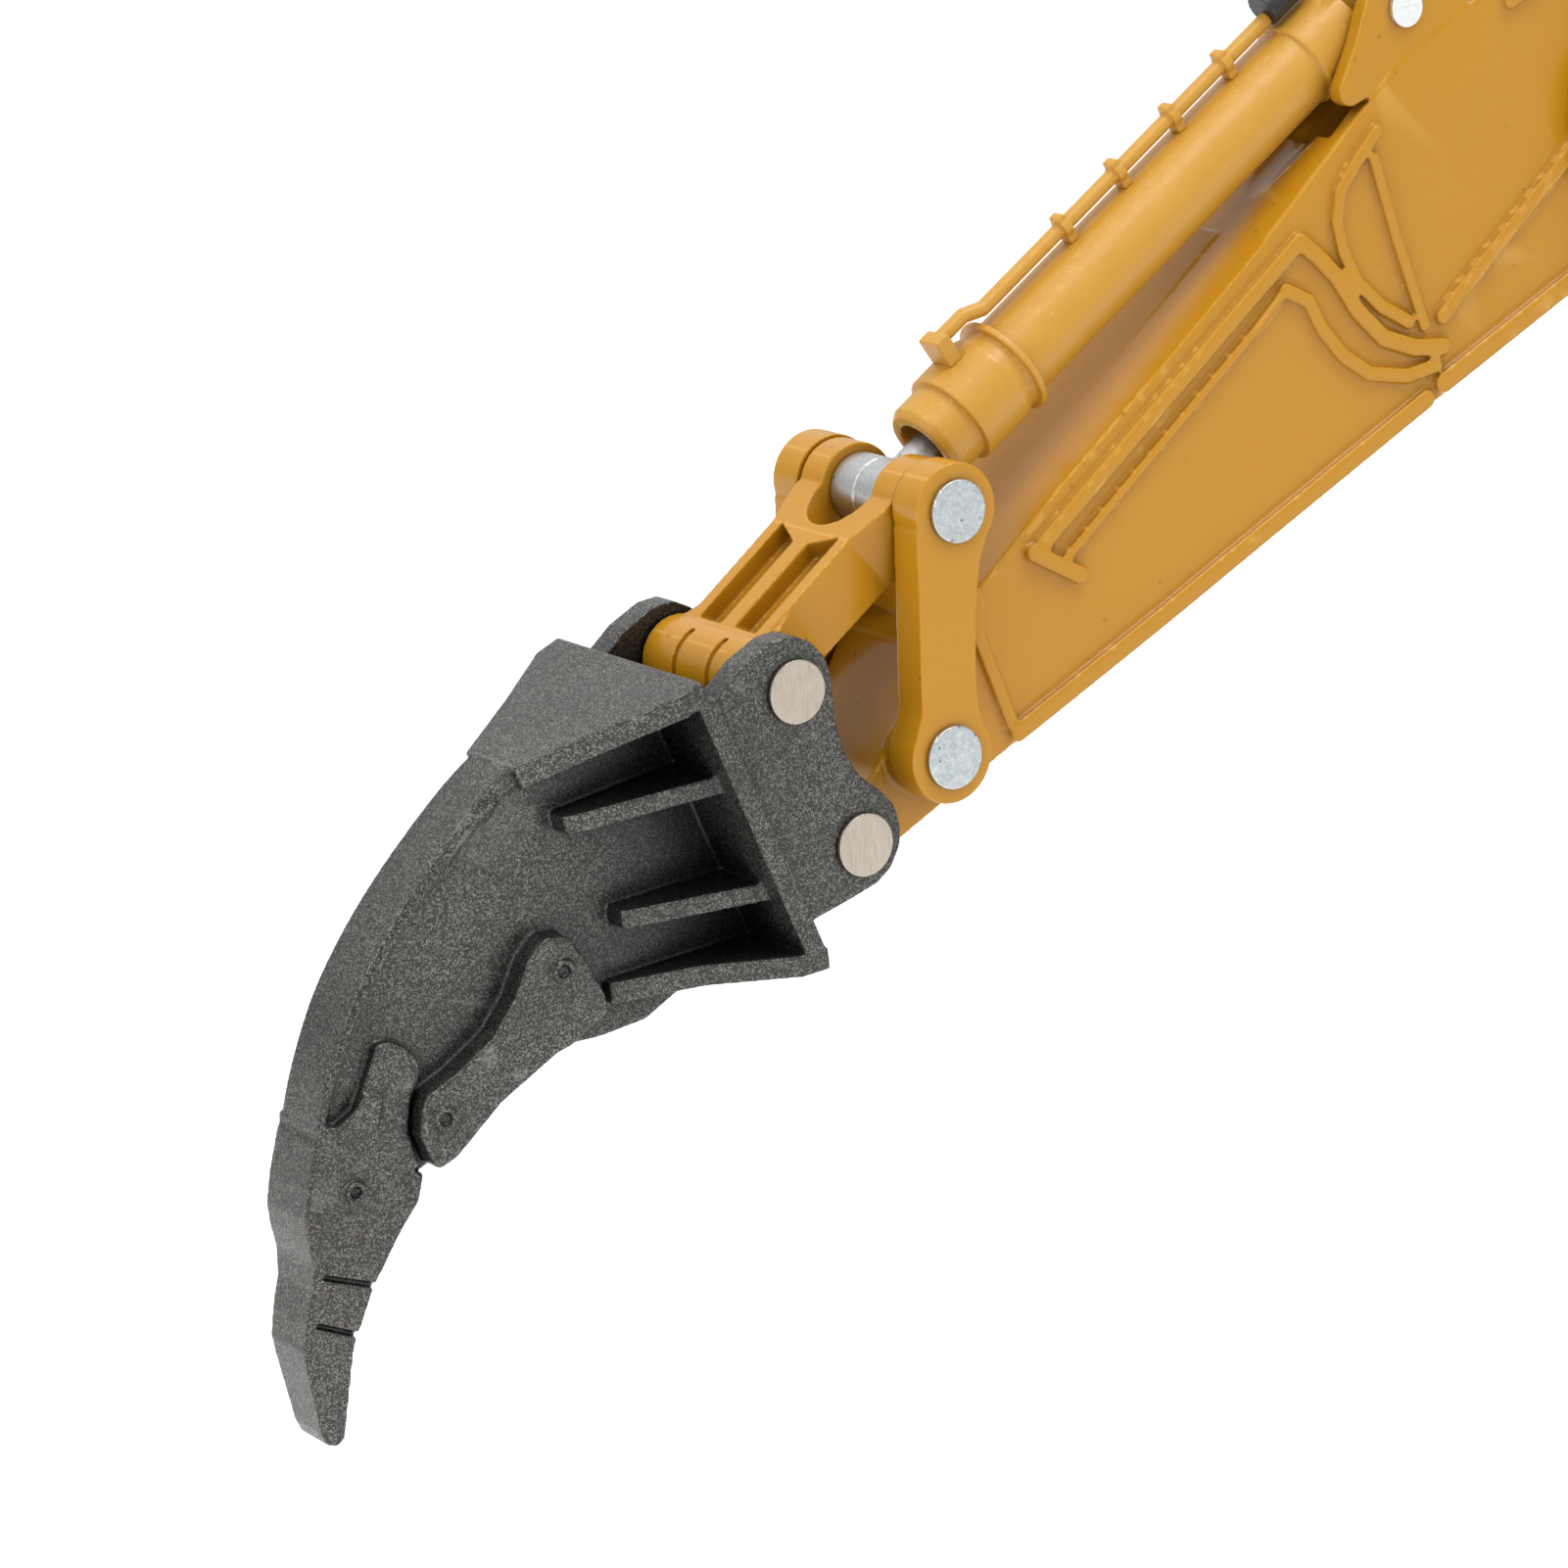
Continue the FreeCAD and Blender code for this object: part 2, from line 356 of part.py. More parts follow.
# two long pipes with their end block
rib([(-12.99, 13.96), (-21.33, 21.29), (-29.77, 28.68)], 0.95)
rib([(-14.60, 13.15), (-26.86, 24.11), (-28.87, 26.11)], 0.55)
rib([(-12.29, 13.56), (-15.40, 12.05)], 0.9, 4.3)
# two hoses curling down from the pipes to the lower rim
rib([(-29.77, 28.68), (-31.08, 27.72), (-32.38, 26.57), (-33.79, 24.71), (-35.75, 23.00), (-38.01, 22.30), (-40.02, 22.20)], 0.95)
rib([(-28.87, 26.11), (-30.47, 25.41), (-31.38, 23.90), (-32.89, 22.30), (-34.79, 21.14), (-37.51, 20.79), (-39.52, 21.19)], 0.8)
# crescent gusset and its straight chord
rib([(-34.90, 34.25), (-33.39, 32.44), (-32.48, 31.14), (-32.28, 29.63), (-32.79, 27.92), (-33.79, 26.22), (-35.50, 24.76), (-37.51, 23.75)], 0.75)
rib([(-34.79, 32.75), (-36.50, 28.33), (-38.61, 23.50)], 0.7)
# rear cross rib
rib([(-39.92, 23.90), (-48.46, 31.94), (-51.27, 34.66)], 0.95)
rib([(-44.14, 40.78), (-52.98, 45.81), (-59.81, 49.73)], 0.9)
emb.append(cy(NOSE, 4.4, 3.6, 4.25))
emb.append(cy(PIN_A, 2.35, 3.6, 4.3))
# the far half of the top plate climbs away from the seam in the middle
w1, w2 = (-6.9, 10.1), (-27.6, 28.85)
wl = math.hypot(w2[0]-w1[0], w2[1]-w1[1]); wn = (-(w2[1]-w1[1])/wl*-1, (w2[0]-w1[0])/wl*-1)
def WP(y, h): return V(w1[0]+wn[0]*h, y, w1[1]+wn[1]*h)
wedge = Part.Face(Part.makePolygon([WP(-0.1, -1.2), WP(-0.1, 0.0), WP(-STICK_HW, 0.62), WP(-STICK_HW, -1.2), WP(-0.1, -1.2)])).extrude(V(w2[0]-w1[0], 0, w2[1]-w1[1]))
stick = fuse(core, wedge, *both(emb))
# rod slot at the lever, bores
stick = stick.cut([prism([(-66, 54.5), (-66, 46.0), (-59.2, 45.2), (-57.0, 48.6), (-58.2, 54.5)], 0.6, -2.3, 2.3),
                   cy(NOSE, 1.45, -9, 9), cy(LEVER, 0.9, -9, 9), cy(PIN_A, 0.90, -9, 9), cy((0, 0), 0.88, -9, 9)])
# base bracket of the ripper cylinder, two cheeks on the top plate
ck = prism([(-31.9, 34.9), (-33.6, 38.9), (-34.3, 41.2), (-35.3, 43.0), (-37.4, 43.5), (-39.4, 42.4), (-42.0, 41.4), (-38.0, 37.5)], 0.8, 2.75, 3.8)
cheeks = both([ck])
stick = fuse(stick, *cheeks)
# channel under the cylinder's base end
ch = [rod(BC(bl-7, OFF-2.0), BC(bl+2.0, OFF-2.0), 2.6).common(box(-60, 0, -1.9, 1.9, 0, 60))]
ch += [rod(BC(bl-15, OFF-0.95), BC(bl-4.2, OFF-0.95), 2.72)]
ch += [cy(PIN_G, 4.9, -1.85, 1.85)]
ch += [prism([BX(bl-7.4, -4.2), BX(bl-0.6, -4.2), BX(bl-0.6, 3.5), BX(bl-7.4, 3.5)], 0.8, -2.72, 2.72)]
stick = stick.cut(ch)
stick = stick.cut([cy(PIN_G, 0.72, -9, 9), cy(LEVER, 1.62, 3.87, 6), cy(LEVER, 1.62, -6, -3.87)])
put("arm", arm(stick))
put("ripper_cylinder_base_pin", arm(fuse(cy(PIN_G, 0.70, -4.0, 4.0), cy(PIN_G, 1.05, 3.82, 4.1), cy(PIN_G, 1.05, -4.1, -3.82))))
put("arm_lever_pin", arm(rivet(LEVER, 0.88, 3.87, 1.55, 0.35)))

# ================================================================= boom
F = (FOOT_X, FOOT_Z); N = (NX, NZ)
boom_pts = [(FOOT_X-4.6, FOOT_Z-1.5), (FOOT_X+1.5, FOOT_Z-5.0), (FOOT_X+7.0, FOOT_Z+1.0), (30.5, 62.5), (47.5, 77.5), (58.0, 82.6), (76.0, 85.3), (100.0, 90.3), (118.0, 94.6), (125.0, 95.2),
            (NX+4.5, NZ-4.0), (NX+5.6, NZ+1.5), (NX+2.0, NZ+5.6), (NX-6.0, NZ+6.3), (100.0, 103.0), (76.0, 101.3), (56.0, 99.3), (44.5, 96.3), (34.5, 88.5), (14.0, 62.0), (FOOT_X-3.0, FOOT_Z+5.5)]
boom = prism(boom_pts, [4.5, 4.5, 6, 14, 14, 12, 14, 20, 6, 4, 5, 4.5, 5, 8, 20, 16, 12, 10, 10, 20, 5], -BOOM_HW, BOOM_HW)
# nose is a fork that takes the arm between two cheeks
nose_cheek = prism([(108.0, 92.6), (120.0, 94.9), (NX+0.5, NZ-5.6), (NX+5.2, NZ-2.5), (NX+5.2, NZ+3.4), (NX+1.0, NZ+5.9), (NX-7.0, NZ+6.1), (106.0, 103.2)], [3, 6, 4.5, 4.5, 4.5, 4.5, 8, 4], 4.5, 6.2)
boom = fuse(boom, *both([nose_cheek]))
fork = fuse(cy(N, 10.3, -4.45, 4.45), box(NX-1, NX+9, -4.45, 4.45, NZ-9, NZ+9))
boom = boom.cut(fork)
# raised flange lines on both sides, hinge bosses
bem = []
def brib(pts, w, y1=5.4): bem.extend(ribbon(pts, w, 4.7, y1))
brib([(9.8, 41.4), (30.6, 64.6), (47.2, 79.4), (58.0, 84.2), (76.0, 87.0), (103.0, 92.8)], 1.1)
brib([(4.4, 45.5), (14.5, 60.4), (34.9, 86.6), (45.4, 94.7), (56.3, 97.7), (76.0, 99.8), (102.0, 101.6)], 1.1)
bem += [cy(BOOM_ROD_PIN, 4.2, 4.7, 6.5), cy(F, 4.7, 4.7, 5.25)]
boom = fuse(boom, *both(bem))
# bracket for the arm cylinder on the back of the boom
br = both([prism([(45.0, 94.0), (49.5, 103.2), (52.2, 106.9), (56.0, 106.9), (58.6, 103.8), (64.0, 98.5)], [1, 2, 2.4, 2.4, 2, 1], 2.95, 4.4)])
boom = fuse(boom, *br)
lamp = fuse(box(63.0, 66.5, 4.8, 6.6, 88.8, 91.6), rod((66.4, 5.8, 90.2), (67.0, 5.8, 90.2), 1.1))
boom = fuse(boom, lamp)
boom = boom.cut([cy(F, 1.55, -9, 9), cy(N, 1.47, -9, 9), cy(BOOM_ROD_PIN, 1.15, -9, 9), cy(ARM_BASE, 0.9, -9, 9)])
put("boom", boom)
put("boom_nose_pin", fuse(cy(N, 1.4, -6.5, 6.5), cy(N, 2.3, 6.22, 6.6), cy(N, 2.3, -6.6, -6.22)))
put("arm_cylinder_base_pin", fuse(cy(ARM_BASE, 0.88, -4.6, 4.6), cy(ARM_BASE, 1.5, 4.42, 4.8), cy(ARM_BASE, 1.5, -4.8, -4.42)))
put("boom_rod_pin", fuse(cy(BOOM_ROD_PIN, 1.13, -10.0, 10.0), cy(BOOM_ROD_PIN, 1.9, 9.9, 10.3), cy(BOOM_ROD_PIN, 1.9, -10.3, -9.9)))


# generic cylinder between two pins in the XZ plane
def unit(a, b):
    l = math.hypot(b[0]-a[0], b[1]-a[1]); return (b[0]-a[0])/l, (b[1]-a[1])/l, l
def cyl_pair(base, rodend, y, rb, bore_r, rr, glen, rodlen, eye_w, r_eye, slot):
    ux_, uz_, L_ = unit(base, rodend)
    def P(s): return (base[0]+ux_*s, y, base[1]+uz_*s)
    px_, pz_ = -uz_, ux_
    b = fuse(rod(P(5.4), P(glen), rb), rod(P(glen-3.0), P(glen), rb+0.35), rod(P(glen-6.0), P(glen-5.2), rb+0.25))
    a0 = P(6.6)
    tl = prism([(a0[0]+px_*rb*0.8, a0[2]+pz_*rb*0.8), (base[0]+px_*3.1, base[1]+pz_*3.1), (base[0]-ux_*2.4+px_*2.1, base[1]-uz_*2.4+pz_*2.1),
                (base[0]-ux_*2.4-px_*2.1, base[1]-uz_*2.4-pz_*2.1), (base[0]-px_*3.1, base[1]-pz_*3.1), (a0[0]-px_*rb*0.8, a0[2]-pz_*rb*0.8)], 1.0, y-eye_w/2, y+eye_w/2)
    b = fuse(b, tl)
    sl = prism([(base[0]+px_*slot[0]+ux_*slot[1], base[1]+pz_*slot[0]+uz_*slot[1]), (base[0]+px_*slot[0]-ux_*slot[1], base[1]+pz_*slot[0]-uz_*slot[1]),
                (base[0]-px_*slot[0]-ux_*slot[1], base[1]-pz_*slot[0]-uz_*slot[1]), (base[0]-px_*slot[0]+ux_*slot[1], base[1]-pz_*slot[0]+uz_*slot[1])], slot[1]*0.9, y-4, y+4)
    b = b.cut([sl, rod(P(7.4), P(glen+1), bore_r)])
    r = fuse(rod(P(L_-rodlen), P(L_-r_eye*0.6), rr), cy(rodend, r_eye, y-eye_w/2, y+eye_w/2))
    return b, r
bb, brr = cyl_pair(BOOM_BASE, BOOM_ROD_PIN, BOOM_CYL_Y, 2.3, 1.75, 1.3, 46.0, 43.0, 2.9, 2.6, (2.35, 1.15))
brr = brr.cut(cy(BOOM_ROD_PIN, 1.2, -12, 12))
group("boom_cylinder_barrels", [bb, mir(bb)])
group("boom_cylinder_rods", [brr, mir(brr)])
LM = M(LEVER)
ab, ar = cyl_pair(ARM_BASE, LM, 0, 2.6, 2.0, 1.45, 54.0, 54.0, 4.2, 2.4, (2.48, 1.28))
ar = ar.cut(cy(LM, 0.95, -6, 6))
put("arm_cylinder_barrel", ab)
put("arm_cylinder_rod", ar)

# ================================================================= undercarriage
def track_outline(r_base, r_out, shoes):
    """side outline of the shoes round the two wheels"""
    per = 4*WHEEL_X + 2*math.pi*r_base
    n = shoes; pts = []
    def at(s, r):
        s = s % per
        a = 2*WHEEL_X
        if s < a: return (-WHEEL_X+s, WHEEL_Z-r)
        s -= a
        h = math.pi*r_base
        if s < h:
            t = -math.pi/2+s/r_base; return (WHEEL_X+r*math.cos(t), WHEEL_Z+r*math.sin(t))
        s -= h
        if s < a: return (WHEEL_X-s, WHEEL_Z+r)
        s -= a
        t = math.pi/2+s/r_base; return (-WHEEL_X+r*math.cos(t), WHEEL_Z+r*math.sin(t))
    st = per/n
    for i in range(n):
        s = i*st
        for f, r in ((0.03, r_base-0.35), (0.07, r_base), (0.12, r_base+0.05), (0.16, r_out), (0.26, r_out), (0.30, r_base+0.05), (0.50, r_base), (0.55, r_out-0.25), (0.63, r_out-0.25), (0.67, r_base), (0.95, r_base), (0.99, r_base-0.35)):
            pts.append(at(s+f*st, r))
    return pts
def stadium(r, y0, y1):
    return fuse(cy((-WHEEL_X, WHEEL_Z), r, y0, y1), cy((WHEEL_X, WHEEL_Z), r, y0, y1), box(-WHEEL_X, WHEEL_X, y0, y1, WHEEL_Z-r, WHEEL_Z+r))
SHOES = 50
tpts = track_outline(TRACK_R-0.75, TRACK_R, SHOES)
y0, y1 = TRACK_Y-SHOE_W/2, TRACK_Y+SHOE_W/2
shoe_ring = xz(tpts, y0, y1).cut(stadium(TRACK_R-1.6, y0-1, y1+1))
chain = stadium(TRACK_R-1.5, TRACK_Y-3.4, TRACK_Y+3.4).cut(stadium(BELT_IN_R, TRACK_Y-5, TRACK_Y+5))
belt = fuse(shoe_ring, chain)
put("track_left", belt)
put("track_right", mir(belt))
# side frame with its moulded rollers
fr = prism([(-34.0, 7.2), (34.0, 7.2), (34.0, 15.6), (27.0, 18.4), (-22.0, 18.4), (-30.0, 16.6), (-34.0, 16.6)], 1.5, TRACK_Y-4.6, TRACK_Y+4.6)
parts = [fr]
for i in range(8):
    x = -30.5+i*61.0/7
    parts += [cy((x, 5.0), 2.4, TRACK_Y-4.0, TRACK_Y-1.6), cy((x, 5.0), 2.4, TRACK_Y+1.6, TRACK_Y+4.0), cy((x, 5.0), 1.8, TRACK_Y-4.4, TRACK_Y+4.4),
              box(x-1.5, x+1.5, TRACK_Y-4.4, TRACK_Y+4.4, 4.6, 8.0)]
for x in (-13.0, 13.0):
    parts += [cy((x, 19.2), 2.2, TRACK_Y-3.0, TRACK_Y+3.0), box(x-1.2, x+1.2, TRACK_Y-2.6, TRACK_Y+2.6, 17.0, 19.0)]
# idler fork: two arms beside the wheel
for s in (-1, 1):
    ya = TRACK_Y+s*4.85 - 0.7; yb = ya+1.4
    parts.append(prism([(31.0, 8.6), (WHEEL_X, 8.8), (WHEEL_X+3.0, 12.0), (WHEEL_X, 15.2), (31.0, 15.4)], [0.2, 3, 2.8, 3, 0.2], ya, yb))
# sprocket drive cover on the inside
parts.append(prism([(-31.0, 8.0), (-WHEEL_X, 7.8), (-WHEEL_X-4.2, 12.0), (-WHEEL_X, 16.2), (-31.0, 16.4)], [0.2, 4, 4, 4, 0.2], TRACK_Y-6.1, TRACK_Y-4.1))
# mounting pads toward the centre frame
parts += [box(-24.0, -12.0, TRACK_Y-8.2, TRACK_Y-4.0, 8.8, 17.2), box(12.0, 24.0, TRACK_Y-8.2, TRACK_Y-4.0, 8.8, 17.2)]
sf = fuse(*parts)
sf = sf.cut([cy((WHEEL_X, WHEEL_Z), 1.5, 15, 40), cy((-WHEEL_X, WHEEL_Z), 1.52, 15, 40)])
# the frame's body stays clear of the wheels
sf = sf.cut([cy((-WHEEL_X, WHEEL_Z), 9.6, TRACK_Y-3.7, 40), cy((WHEEL_X, WHEEL_Z), 9.6, TRACK_Y-3.9, TRACK_Y+3.9)])
put("side_frame_left", sf)
put("side_frame_right", mir(sf))
# wheels
def sprocket():
    n = 13; pts = []
    for i in range(n):
        a = 2*math.pi*i/n; st = 2*math.pi/n
        for f, r in ((-0.30, 7.6), (-0.16, 9.1), (0.16, 9.1), (0.30, 7.6), (0.5, 7.3)):
            pts.append((-WHEEL_X+r*math.cos(a+f*st), WHEEL_Z+r*math.sin(a+f*st)))
    s = fuse(xz(pts, TRACK_Y-1.5, TRACK_Y+1.5), cy((-WHEEL_X, WHEEL_Z), 6.3, TRACK_Y-3.4, TRACK_Y+2.2), cy((-WHEEL_X, WHEEL_Z), 5.0, TRACK_Y+2.0, TRACK_Y+3.8), cy((-WHEEL_X, WHEEL_Z), 3.4, TRACK_Y+3.6, TRACK_Y+4.6))
    b = []
    for i in range(8):
        a = 2*math.pi*i/8
        b.append(cy((-WHEEL_X+5.65*math.cos(a), WHEEL_Z+5.65*math.sin(a)), 0.42, TRACK_Y+2.0, TRACK_Y+2.55))
    return fuse(s, *b).cut(cy((-WHEEL_X, WHEEL_Z), 1.45, TRACK_Y-6, TRACK_Y+3.0))
sp = sprocket()
put("sprocket_left", sp); put("sprocket_right", mir(sp))
shaft = cy((-WHEEL_X, WHEEL_Z), 1.45, TRACK_Y-11.0, TRACK_Y+3.0)
put("drive_shaft_left", shaft); put("drive_shaft_right", mir(shaft))
idl = fuse(cy((WHEEL_X, WHEEL_Z), 9.15, TRACK_Y-1.6, TRACK_Y+1.6), cy((WHEEL_X, WHEEL_Z), 8.2, TRACK_Y-3.3, TRACK_Y+3.3))
idl = idl.cut([cy((WHEEL_X, WHEEL_Z), 6.9, TRACK_Y+2.2, TRACK_Y+4).cut(cy((WHEEL_X, WHEEL_Z), 3.0, TRACK_Y+2, TRACK_Y+5)),
               cy((WHEEL_X, WHEEL_Z), 6.9, TRACK_Y-4, TRACK_Y-2.2).cut(cy((WHEEL_X, WHEEL_Z), 3.0, TRACK_Y-5, TRACK_Y-2)), cy((WHEEL_X, WHEEL_Z), 1.55, 15, 40)])
put("idler_wheel_left", idl); put("idler_wheel_right", mir(idl))
ia = fuse(cy((WHEEL_X, WHEEL_Z), 1.49, TRACK_Y-5.7, TRACK_Y+5.6), cy((WHEEL_X, WHEEL_Z), 2.3, TRACK_Y+5.56, TRACK_Y+6.0))
group("idler_axles", [ia, mir(ia)])
# centre frame: box with four legs, motor housing behind, slew post on top
# hollow centre box, open downwards
cf = fuse(zprism([(-19, -13), (19, -13), (19, 13), (-19, 13)], 4, 10.2, 22.0),
          box(-23.5, -12.5, -19.8, 19.8, 9.5, 16.5), box(12.5, 23.5, -19.8, 19.8, 9.5, 16.5),
          cz(0, 0, 14.5, 20.0, 22.6), box(-38.2, -12.0, -8.5, 8.5, 9.2, 15.4),
          prism([(-49.2, 9.6), (-47.6, 7.4), (-38.4, 7.4), (-37.6, 9.6), (-37.6, 15.4), (-38.8, 17.0), (-47.6, 17.0), (-49.2, 15.4)], 0.4, -20.2, 20.2),
          cz(0, 0, 7.0, 20, 30.5))
cf = cf.cut([box(-47.9, -38.9, -20.3, 20.3, 6.0, 15.6), box(-16, 16, -10, 10, 6, 19.6), cz(0, 0, 4.5, 18, 28.4), box(-30, -18, -6, 6, 11, 13)])
cf = cf.cut([cz(0, 0, 1.0, 25, 32)])
put("centre_frame", cf)
cover = fuse(box(-47.7, -39.1, -20.2, 20.2, 6.6, 7.6), zprism([(-15.8, -9.8), (15.8, -9.8), (15.8, 9.8), (-15.8, 9.8)], 1, 9.2, 10.4))
group("belly_covers", [box(-47.7, -39.1, -20.2, 20.2, 6.5, 7.6), zprism([(-15.8, -9.8), (15.8, -9.8), (15.8, 9.8), (-15.8, 9.8)], 1, 9.2, 10.2)])
# drive gear-motors, end to end across the housing
def motor(s):
    g = box(-47.0, -39.0, 13.2, 20.0, 8.0, 15.4)
    c = cy((-WHEEL_X, 11.7), 3.6, 3.2, 13.3)
    t = cy((-WHEEL_X, 11.7), 1.0, 2.2, 3.3)
    m = fuse(g, c, t).cut(cy((-WHEEL_X, WHEEL_Z), 1.5, 16.8, 22))
    return m if s > 0 else mir(m)
group("drive_motors", [motor(1), motor(-1)])
# slew gears
def gear(n, m, x, y, z0, z1, phase, bore_r, thin=0.0):
    rp = n*m/2; ra = rp+m*0.85; rf = rp-m*1.15; pts = []
    st = 2*math.pi/n
    for i in range(n):
        a = phase+i*st
        for f, r in ((-0.27, rf), (-0.20, rp-0.1*m), (-0.10, ra), (0.10, ra), (0.20, rp-0.1*m), (0.27, rf)):
            pts.append((x+r*math.cos(a+f*st*(1-thin)), y+r*math.sin(a+f*st*(1-thin))))
    g = xy(pts, z0, z1)
    return g.cut(cz(x, y, bore_r, z0-1, z1+1))
ring = gear(RING_TEETH, GEAR_M, 0, 0, 22.6, 25.2, 0.0, 7.05, 0.12)
put("slew_ring_gear", ring)
CD = (RING_TEETH+PINION_TEETH)*GEAR_M/2+0.12
PA = math.radians(180)                     # pinion sits behind the slew axis
px0, py0 = CD*math.cos(PA), CD*math.sin(PA)
# gap of the pinion faces a tooth of the ring
pin = gear(PINION_TEETH, GEAR_M, px0, py0, 22.9, 25.4, PA+math.pi+math.pi/PINION_TEETH, 0.9, 0.12)
pin = fuse(pin, cz(px0, py0, 2.2, 25.3, 25.9).cut(cz(px0, py0, 0.9, 25, 26)))
put("slew_pinion", pin)
put("slew_motor_shaft", cz(px0, py0, 0.9, 22.9, 32.0))
put("slew_washer", cz(0, 0, 8.6, 30.5, 31.1).cut(cz(0, 0, 1.0, 30, 33)))
put("slew_screw", fuse(cz(0, 0, 0.98, 28.6, 31.2), cz(0, 0, 2.0, 31.1, 32.1)).cut(box(-1.5, 1.5, -0.25, 0.25, 31.7, 34)))

# ================================================================= upper structure
deck = zprism([(-56, -HOUSE_W), (33.0, -HOUSE_W), (33.0, HOUSE_W), (-56, HOUSE_W)], 3, DECK_Z0, DECK_Z1)
# side skirts and central channel
deck = fuse(deck, box(-56, 30, HOUSE_W-1.6, HOUSE_W, 24.6, DECK_Z0+0.5), box(-56, 30, -HOUSE_W, -HOUSE_W+1.6, 24.6, DECK_Z0+0.5))
deck = deck.cut([cz(0, 0, 7.06, 20, 40), cz(px0, py0, 2.6, 20, 40), box(20.5, 40, -10.9, 10.9, 20, 40)])
ears_d = both([prism([(-2.0, 29.5), (-1.2, 37.0), (1.5, 41.8), (4.5, 43.0), (8.0, 41.2), (10.0, 36.5), (12.5, 29.5)], [0.2, 3, 4, 4.5, 4, 3, 0.2], 5.6, 7.4)])
ube = both([prism([(12.4, 27.0), (12.8, 30.6), (14.6, 33.2), (17.0, 33.9), (19.4, 33.0), (20.5, 30.6), (20.5, 27.0)], [0.2, 2, 2, 2.5, 2, 2, 0.2], 9.95, 10.9),
            prism([(12.4, 27.0), (12.8, 30.6), (14.6, 33.2), (17.0, 33.9), (19.4, 33.0), (20.5, 30.6), (20.5, 27.0)], [0.2, 2, 2, 2.5, 2, 2, 0.2], 5.6, 6.45)])
well = both([box(11.8, 22, 6.45, 9.95, 20, 31.0)])
deck = fuse(deck, *ears_d).cut(well)
deck = fuse(deck, *ube)
deck = deck.cut([cz(0, 0, 8.9, 30.0, 31.6), cz(0, 0, 7.06, 28.0, 31.0)])
deck = deck.cut([cy(F, 1.52, -12, 12), cy(BOOM_BASE, 0.82, -12, 12)])
put("deck", deck)
ubp = cy(BOOM_BASE, 0.8, 5.4, 11.1)
group("deck_pins", [fuse(cy(F, 1.5, -7.6, 7.6), cy(F, 2.3, 7.42, 7.9), cy(F, 2.3, -7.9, -7.42)), ubp, mir(ubp)])
# counterweight: rounded tail block
def tail_outline(r0, x1):
    pts = []
    n = 14; a0 = math.asin(HOUSE_W/r0)
    return r0, a0
tail = xy([(-56.2, -HOUSE_W), (-56.2, HOUSE_W), (-66, HOUSE_W), (-76, HOUSE_W), (-76, -HOUSE_W)], 26.5, 57.0).common(cz(0, 0, TAIL_R, 20, 60))
tail = tail.common(prism([(-56.2, 26.5), (-70.0, 26.5), (-74.2, 31.0), (-74.2, 52.5), (-70.5, 57.0), (-56.2, 57.0)], [0.3, 4, 4, 4, 4, 0.3], -40, 40))
corner = zprism([(-56.2, -HOUSE_W), (-56.2, HOUSE_W), (-80, HOUSE_W), (-80, -HOUSE_W)], [0.2, 0.2, 0.2, 0.2], 20, 60)
put("counterweight", tail)
# engine hood: hollow shell
hood = prism([(-56.0, DECK_Z1), (-3.0, DECK_Z1), (-3.0, 50.0), (-5.5, 53.0), (-24.0, 53.0), (-26.5, 56.4), (-56.0, 56.4)], [0.1, 0.1, 1.5, 2, 1.5, 1.5, 1], -HOUSE_W, HOUSE_W)
hin = prism([(-54.8, DECK_Z1-1), (-4.3, DECK_Z1-1), (-4.3, 49.6), (-6.0, 51.6), (-24.8, 51.6), (-27.2, 55.0), (-54.8, 55.0)], 1, -HOUSE_W+1.3, HOUSE_W-1.3)
hood = hood.cut(hin)
# the cab and the tank stand on the deck in front; louvre bars along both sides
lv = []
for k in range(9):
    z = 35.0+k*1.7
    lv.append(box(-52.5, -33.0, HOUSE_W-0.4, HOUSE_W+0.35, z, z+0.75))
for k in range(9):
    z = 35.0+k*1.7
    lv.append(box(-29.0, -10.0, HOUSE_W-0.4, HOUSE_W+0.35, z, z+0.75))
hood = fuse(hood, *both(lv))
top = [zprism([(-52, -24), (-30, -24), (-30, -6), (-52, -6)], 1.5, 56.0, 57.4), zprism([(-52, 5), (-30, 5), (-30, 24), (-52, 24)], 1.5, 56.0, 57.0)]
hood = fuse(hood, *top)
hood = hood.cut([cz(-44.0, -15.0, 1.6, 50, 60), cz(0, 0, 9.0, 29, 31.6)])
put("engine_hood", hood)
put("exhaust_pipe", fuse(cz(-44, -15, 1.55, 54.2, 63.5), rod((-44, -15, 63.2), (-47.2, -15, 65.6), 1.55), cz(-44, -15, 2.2, 57.4, 58.2)))
# right-hand tank and tool box with steps
tank = zprism([(-1.5, -HOUSE_W), (17.0, -HOUSE_W), (17.0, -11.4), (-1.5, -11.4)], 1.5, DECK_Z1, 49.0)
tbox = prism([(17.2, DECK_Z1), (33.0, DECK_Z1), (33.0, 38.0), (30.5, 41.0), (17.2, 41.0)], [0.1, 0.5, 1, 1, 0.1], -HOUSE_W, -11.4)
cap = cz(6.0, -16.0, 2.0, 49.0, 50.2)
put("fuel_tank", fuse(tank, cap))
put("tool_box", fuse(tbox, box(33.0, 35.2, -27.0, -16.0, 30.2, 31.4), box(33.0, 34.4, -27.0, -16.0, 35.2, 36.2)))
